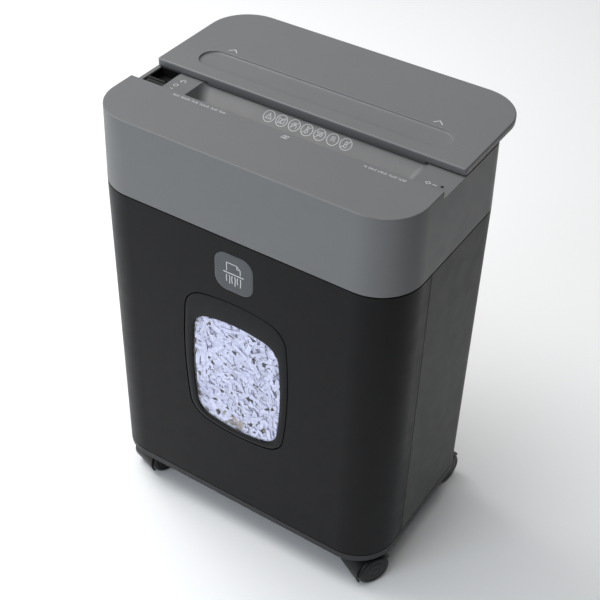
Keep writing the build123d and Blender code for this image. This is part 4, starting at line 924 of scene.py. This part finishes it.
deck_marks += ticks(deck, -118.7, -57, -39.3, 1.62,
                    (2.9, 1.9, 1.9, 2.9, 1.9, 0, 2.9, 1.9, 2.2, 1.9, 1.9, 2.9, 1.9, 0), 0.5)
deck_marks += ticks(deck, 97, 140, -39.8, 1.62,
                    (2.9, 1.9, 0, 2.9, 1.9, 2.2, 1.9, 2.9, 0, 1.9, 1.9, 2.9, 1.9), 0.5)
deck_marks += [
    stroke(lower_deck, ring((-136.4, -13), 2.2), 0.6, True),
    stroke(lower_deck, [(-137.6, -20.6), (-134.6, -20.6)], 0.8),
    stroke(lower_deck, ring((-134, -3.6), 2.4, -40, 240, 18), 0.6),
    stroke(lower_deck, [(-137.6, -4.0), (-136.2, -5.4), (-134.8, -4.0)], 0.6),
    stroke(lower_deck, [(149, -19), (151.6, -16.8), (154.2, -19), (151.6, -21.2)], 0.6, True),
    stroke(lower_deck, [(156, -19), (160.6, -19)], 0.8),
]
piece("deck_marks", deck_marks, "cabinet", finishes["print_white"], weld=0.001)

# %% Arrows on the lid and the drawing on the badge
lid_face = Plane((0, 0, lid_top), (1, 0, 0), (0, 1, 0))
lid_marks = []
for x in (-120.4, 117.4):
    lid_marks.append(stroke(lid_face, [(x - 5.0, 62.0), (x, 67.0), (x + 5.0, 62.0)], 0.9))
piece("lid_marks", lid_marks, "lid", finishes["print_white"], weld=0.001)
badge_plane = Plane(badge_face, (1, 0, 0), (0, 0, 1))
badge_marks = [stroke(badge_plane, [(-8, 2), (-8, 12), (4, 12), (8, 8), (8, 2)], 0.9),
               stroke(badge_plane, [(4, 12), (4, 8), (8, 8)], 0.7),
               stroke(badge_plane, [(-12, 0), (12, 0)], 1.2)]
badge_marks += [stroke(badge_plane, [(x, -2.4), (x + 0.5 * math.sin(x), -6), (x, drop)], 1.0)
                for x, drop in zip((-8, -4.8, -1.6, 1.6, 4.8, 8), (-11, -13, -12, -14, -11, -13))]
piece("badge_marks", badge_marks, "bin", finishes["print_white"], weld=0.001)

# %% [markdown]
# ## Caster wheels
# Each caster has two wheels under one hood. A wheel is turned about its axle: a profile of
# (distance along the axle, radius) is swept round. The tread has soft shoulders, and the outer
# face carries a ring groove and a slightly domed hub. The axle and where it sits come from the
# frame's own joints, so the wheel always turns about the true line.


# %% Wheel
def turned(profile, centre, axle, segments=72):
    """A profile of (distance, radius) swept round a line, closed at both ends on the line."""
    centre, axle = np.array(centre, float), np.array(axle, float)
    axle /= np.linalg.norm(axle)
    across = np.cross((0, 0, 1.0), axle)
    across /= np.linalg.norm(across)
    lifted = np.cross(axle, across)
    angle = np.linspace(0, 2 * math.pi, segments, endpoint=False)[None, :, None]
    spoke = across * np.cos(angle) + lifted * np.sin(angle)
    distance, radius = np.asarray(profile, float).T[:, :, None, None]
    rows = centre + axle * distance + spoke * radius
    ends = centre + axle * profile[0][0], centre + axle * profile[-1][0]
    return grid(closed_by(rows, *ends), wrap_cols=True)


wheel_radius = 19.5
tread_out = corner_arc(3.6, 90, 0, 5, (17.2, wheel_radius - 3.6))
tread_in = corner_arc(1.2, 180, 90, 3, (8.3, wheel_radius - 1.2))
wheel_profile = np.array([
    (8.8, 6.6), (7.4, 6.8), (7.1, 7.4), (13.2, 7.4), (13.2, 16.3), (7.4, 16.3), (7.1, 16.8),
    *tread_in, (12.0, wheel_radius), (13.2, wheel_radius), *tread_out, (20.8, 14.2),
    (20.8, 13.6), (20.5, 13.3), (20.5, 12.8), (20.8, 12.5), (20.9, 12.0), (21.1, 8.0),
    (21.15, 5.6), (21.0, 5.1), (21.0, 4.8), (21.2, 4.4), (21.3, 2.0)])
for corner in ("fl", "fr", "rl", "rr"):
    joints = [joint for joint in frame["joints"]
              if joint["child"].startswith(f"caster_{corner}_wheel")]
    for joint in joints:
        label = joint["child"]
        low, high = node_box(label)
        centre = np.array(joint["pos_m"]) / MM
        axle = np.array(joint["axis"], float)
        axle *= np.sign(((low + high) / 2 - centre) @ axle)
        piece(f"{label}_rim", [turned(wheel_profile, centre, axle)], label,
              finishes["caster_wheel"], [label], smooth=38)

# %% [markdown]
# ## Floor, world and light
# The floor is a pale, plain sheet far larger than the object. Light comes from a wide softbox
# overhead, a nearer one to the left and a cooler one in front to the left; the world adds a low
# even grey. The near box gives the deck and the lid their soft gradient, and the front box puts
# the sheen on the rounded left edge and the window. A dark card to the right takes the bounced
# light off the right side, as a studio does to keep a side in shade.

# %% Floor and world
floor_finish, _, floor_surface = new_finish("studio_floor", 0.9, Specular_IOR_Level=0.1)
floor_surface.inputs["Base Color"].default_value = (0.92, 0.92, 0.92, 1)
floor_mesh = bpy.data.meshes.new("studio_floor")
reach = 8
floor_mesh.from_pydata([(-reach, -reach, 0), (reach, -reach, 0), (reach, reach, 0),
                        (-reach, reach, 0)], [], [(0, 1, 2, 3)])
floor_mesh.materials.append(floor_finish)
floor = bpy.data.objects.new("studio_floor", floor_mesh)
bpy.context.scene.collection.objects.link(floor)
world = bpy.data.worlds.new("studio_grey")
world.use_nodes = True
world.node_tree.nodes["Background"].inputs["Color"].default_value = (0.95, 0.98, 1.0, 1)
world.node_tree.nodes["Background"].inputs["Strength"].default_value = 0.28
bpy.context.scene.world = world
bpy.context.scene.view_settings.view_transform = "Standard"


# %% Softboxes
def softbox(name, width, height, place, aim, watts, colour):
    """A flat rectangular light at a place, turned towards a point."""
    light = bpy.data.lights.new(name, "AREA")
    light.shape, light.size, light.size_y = "RECTANGLE", width, height
    light.energy, light.color = watts, colour
    made = bpy.data.objects.new(name, light)
    made.location = place
    made.rotation_euler = (Vector(aim) - Vector(place)).to_track_quat("-Z", "Y").to_euler()
    bpy.context.scene.collection.objects.link(made)
    return made


softbox("overhead", 4.0, 4.0, (-0.5, -0.2, 4.2), (0, 0, 0.3), 104, (1.0, 1.0, 1.0))
softbox("near_left", 1.3, 1.2, (-1.25, -0.1, 1.9), (0, 0, 0.45), 27, (1.0, 1.0, 1.0))
softbox("front_left", 1.3, 1.4, (-0.6, -2.1, 1.0), (0, 0, 0.3), 22, (0.82, 0.91, 1.0))

# %% Dark card
card_finish, _, card_surface = new_finish("card_black", 0.9, Specular_IOR_Level=0.1)
card_surface.inputs["Base Color"].default_value = (0.01, 0.01, 0.01, 1)
card_mesh = bpy.data.meshes.new("dark_card")
card_mesh.from_pydata([(1.0, -0.6, 0), (1.0, 2.0, 0), (1.0, 2.0, 1.8), (1.0, -0.6, 1.8)], [],
                      [(0, 1, 2, 3)])
card_mesh.materials.append(card_finish)
card = bpy.data.objects.new("dark_card", card_mesh)
bpy.context.scene.collection.objects.link(card)
card.visible_camera = False
print("floor, world, three softboxes and a dark card")
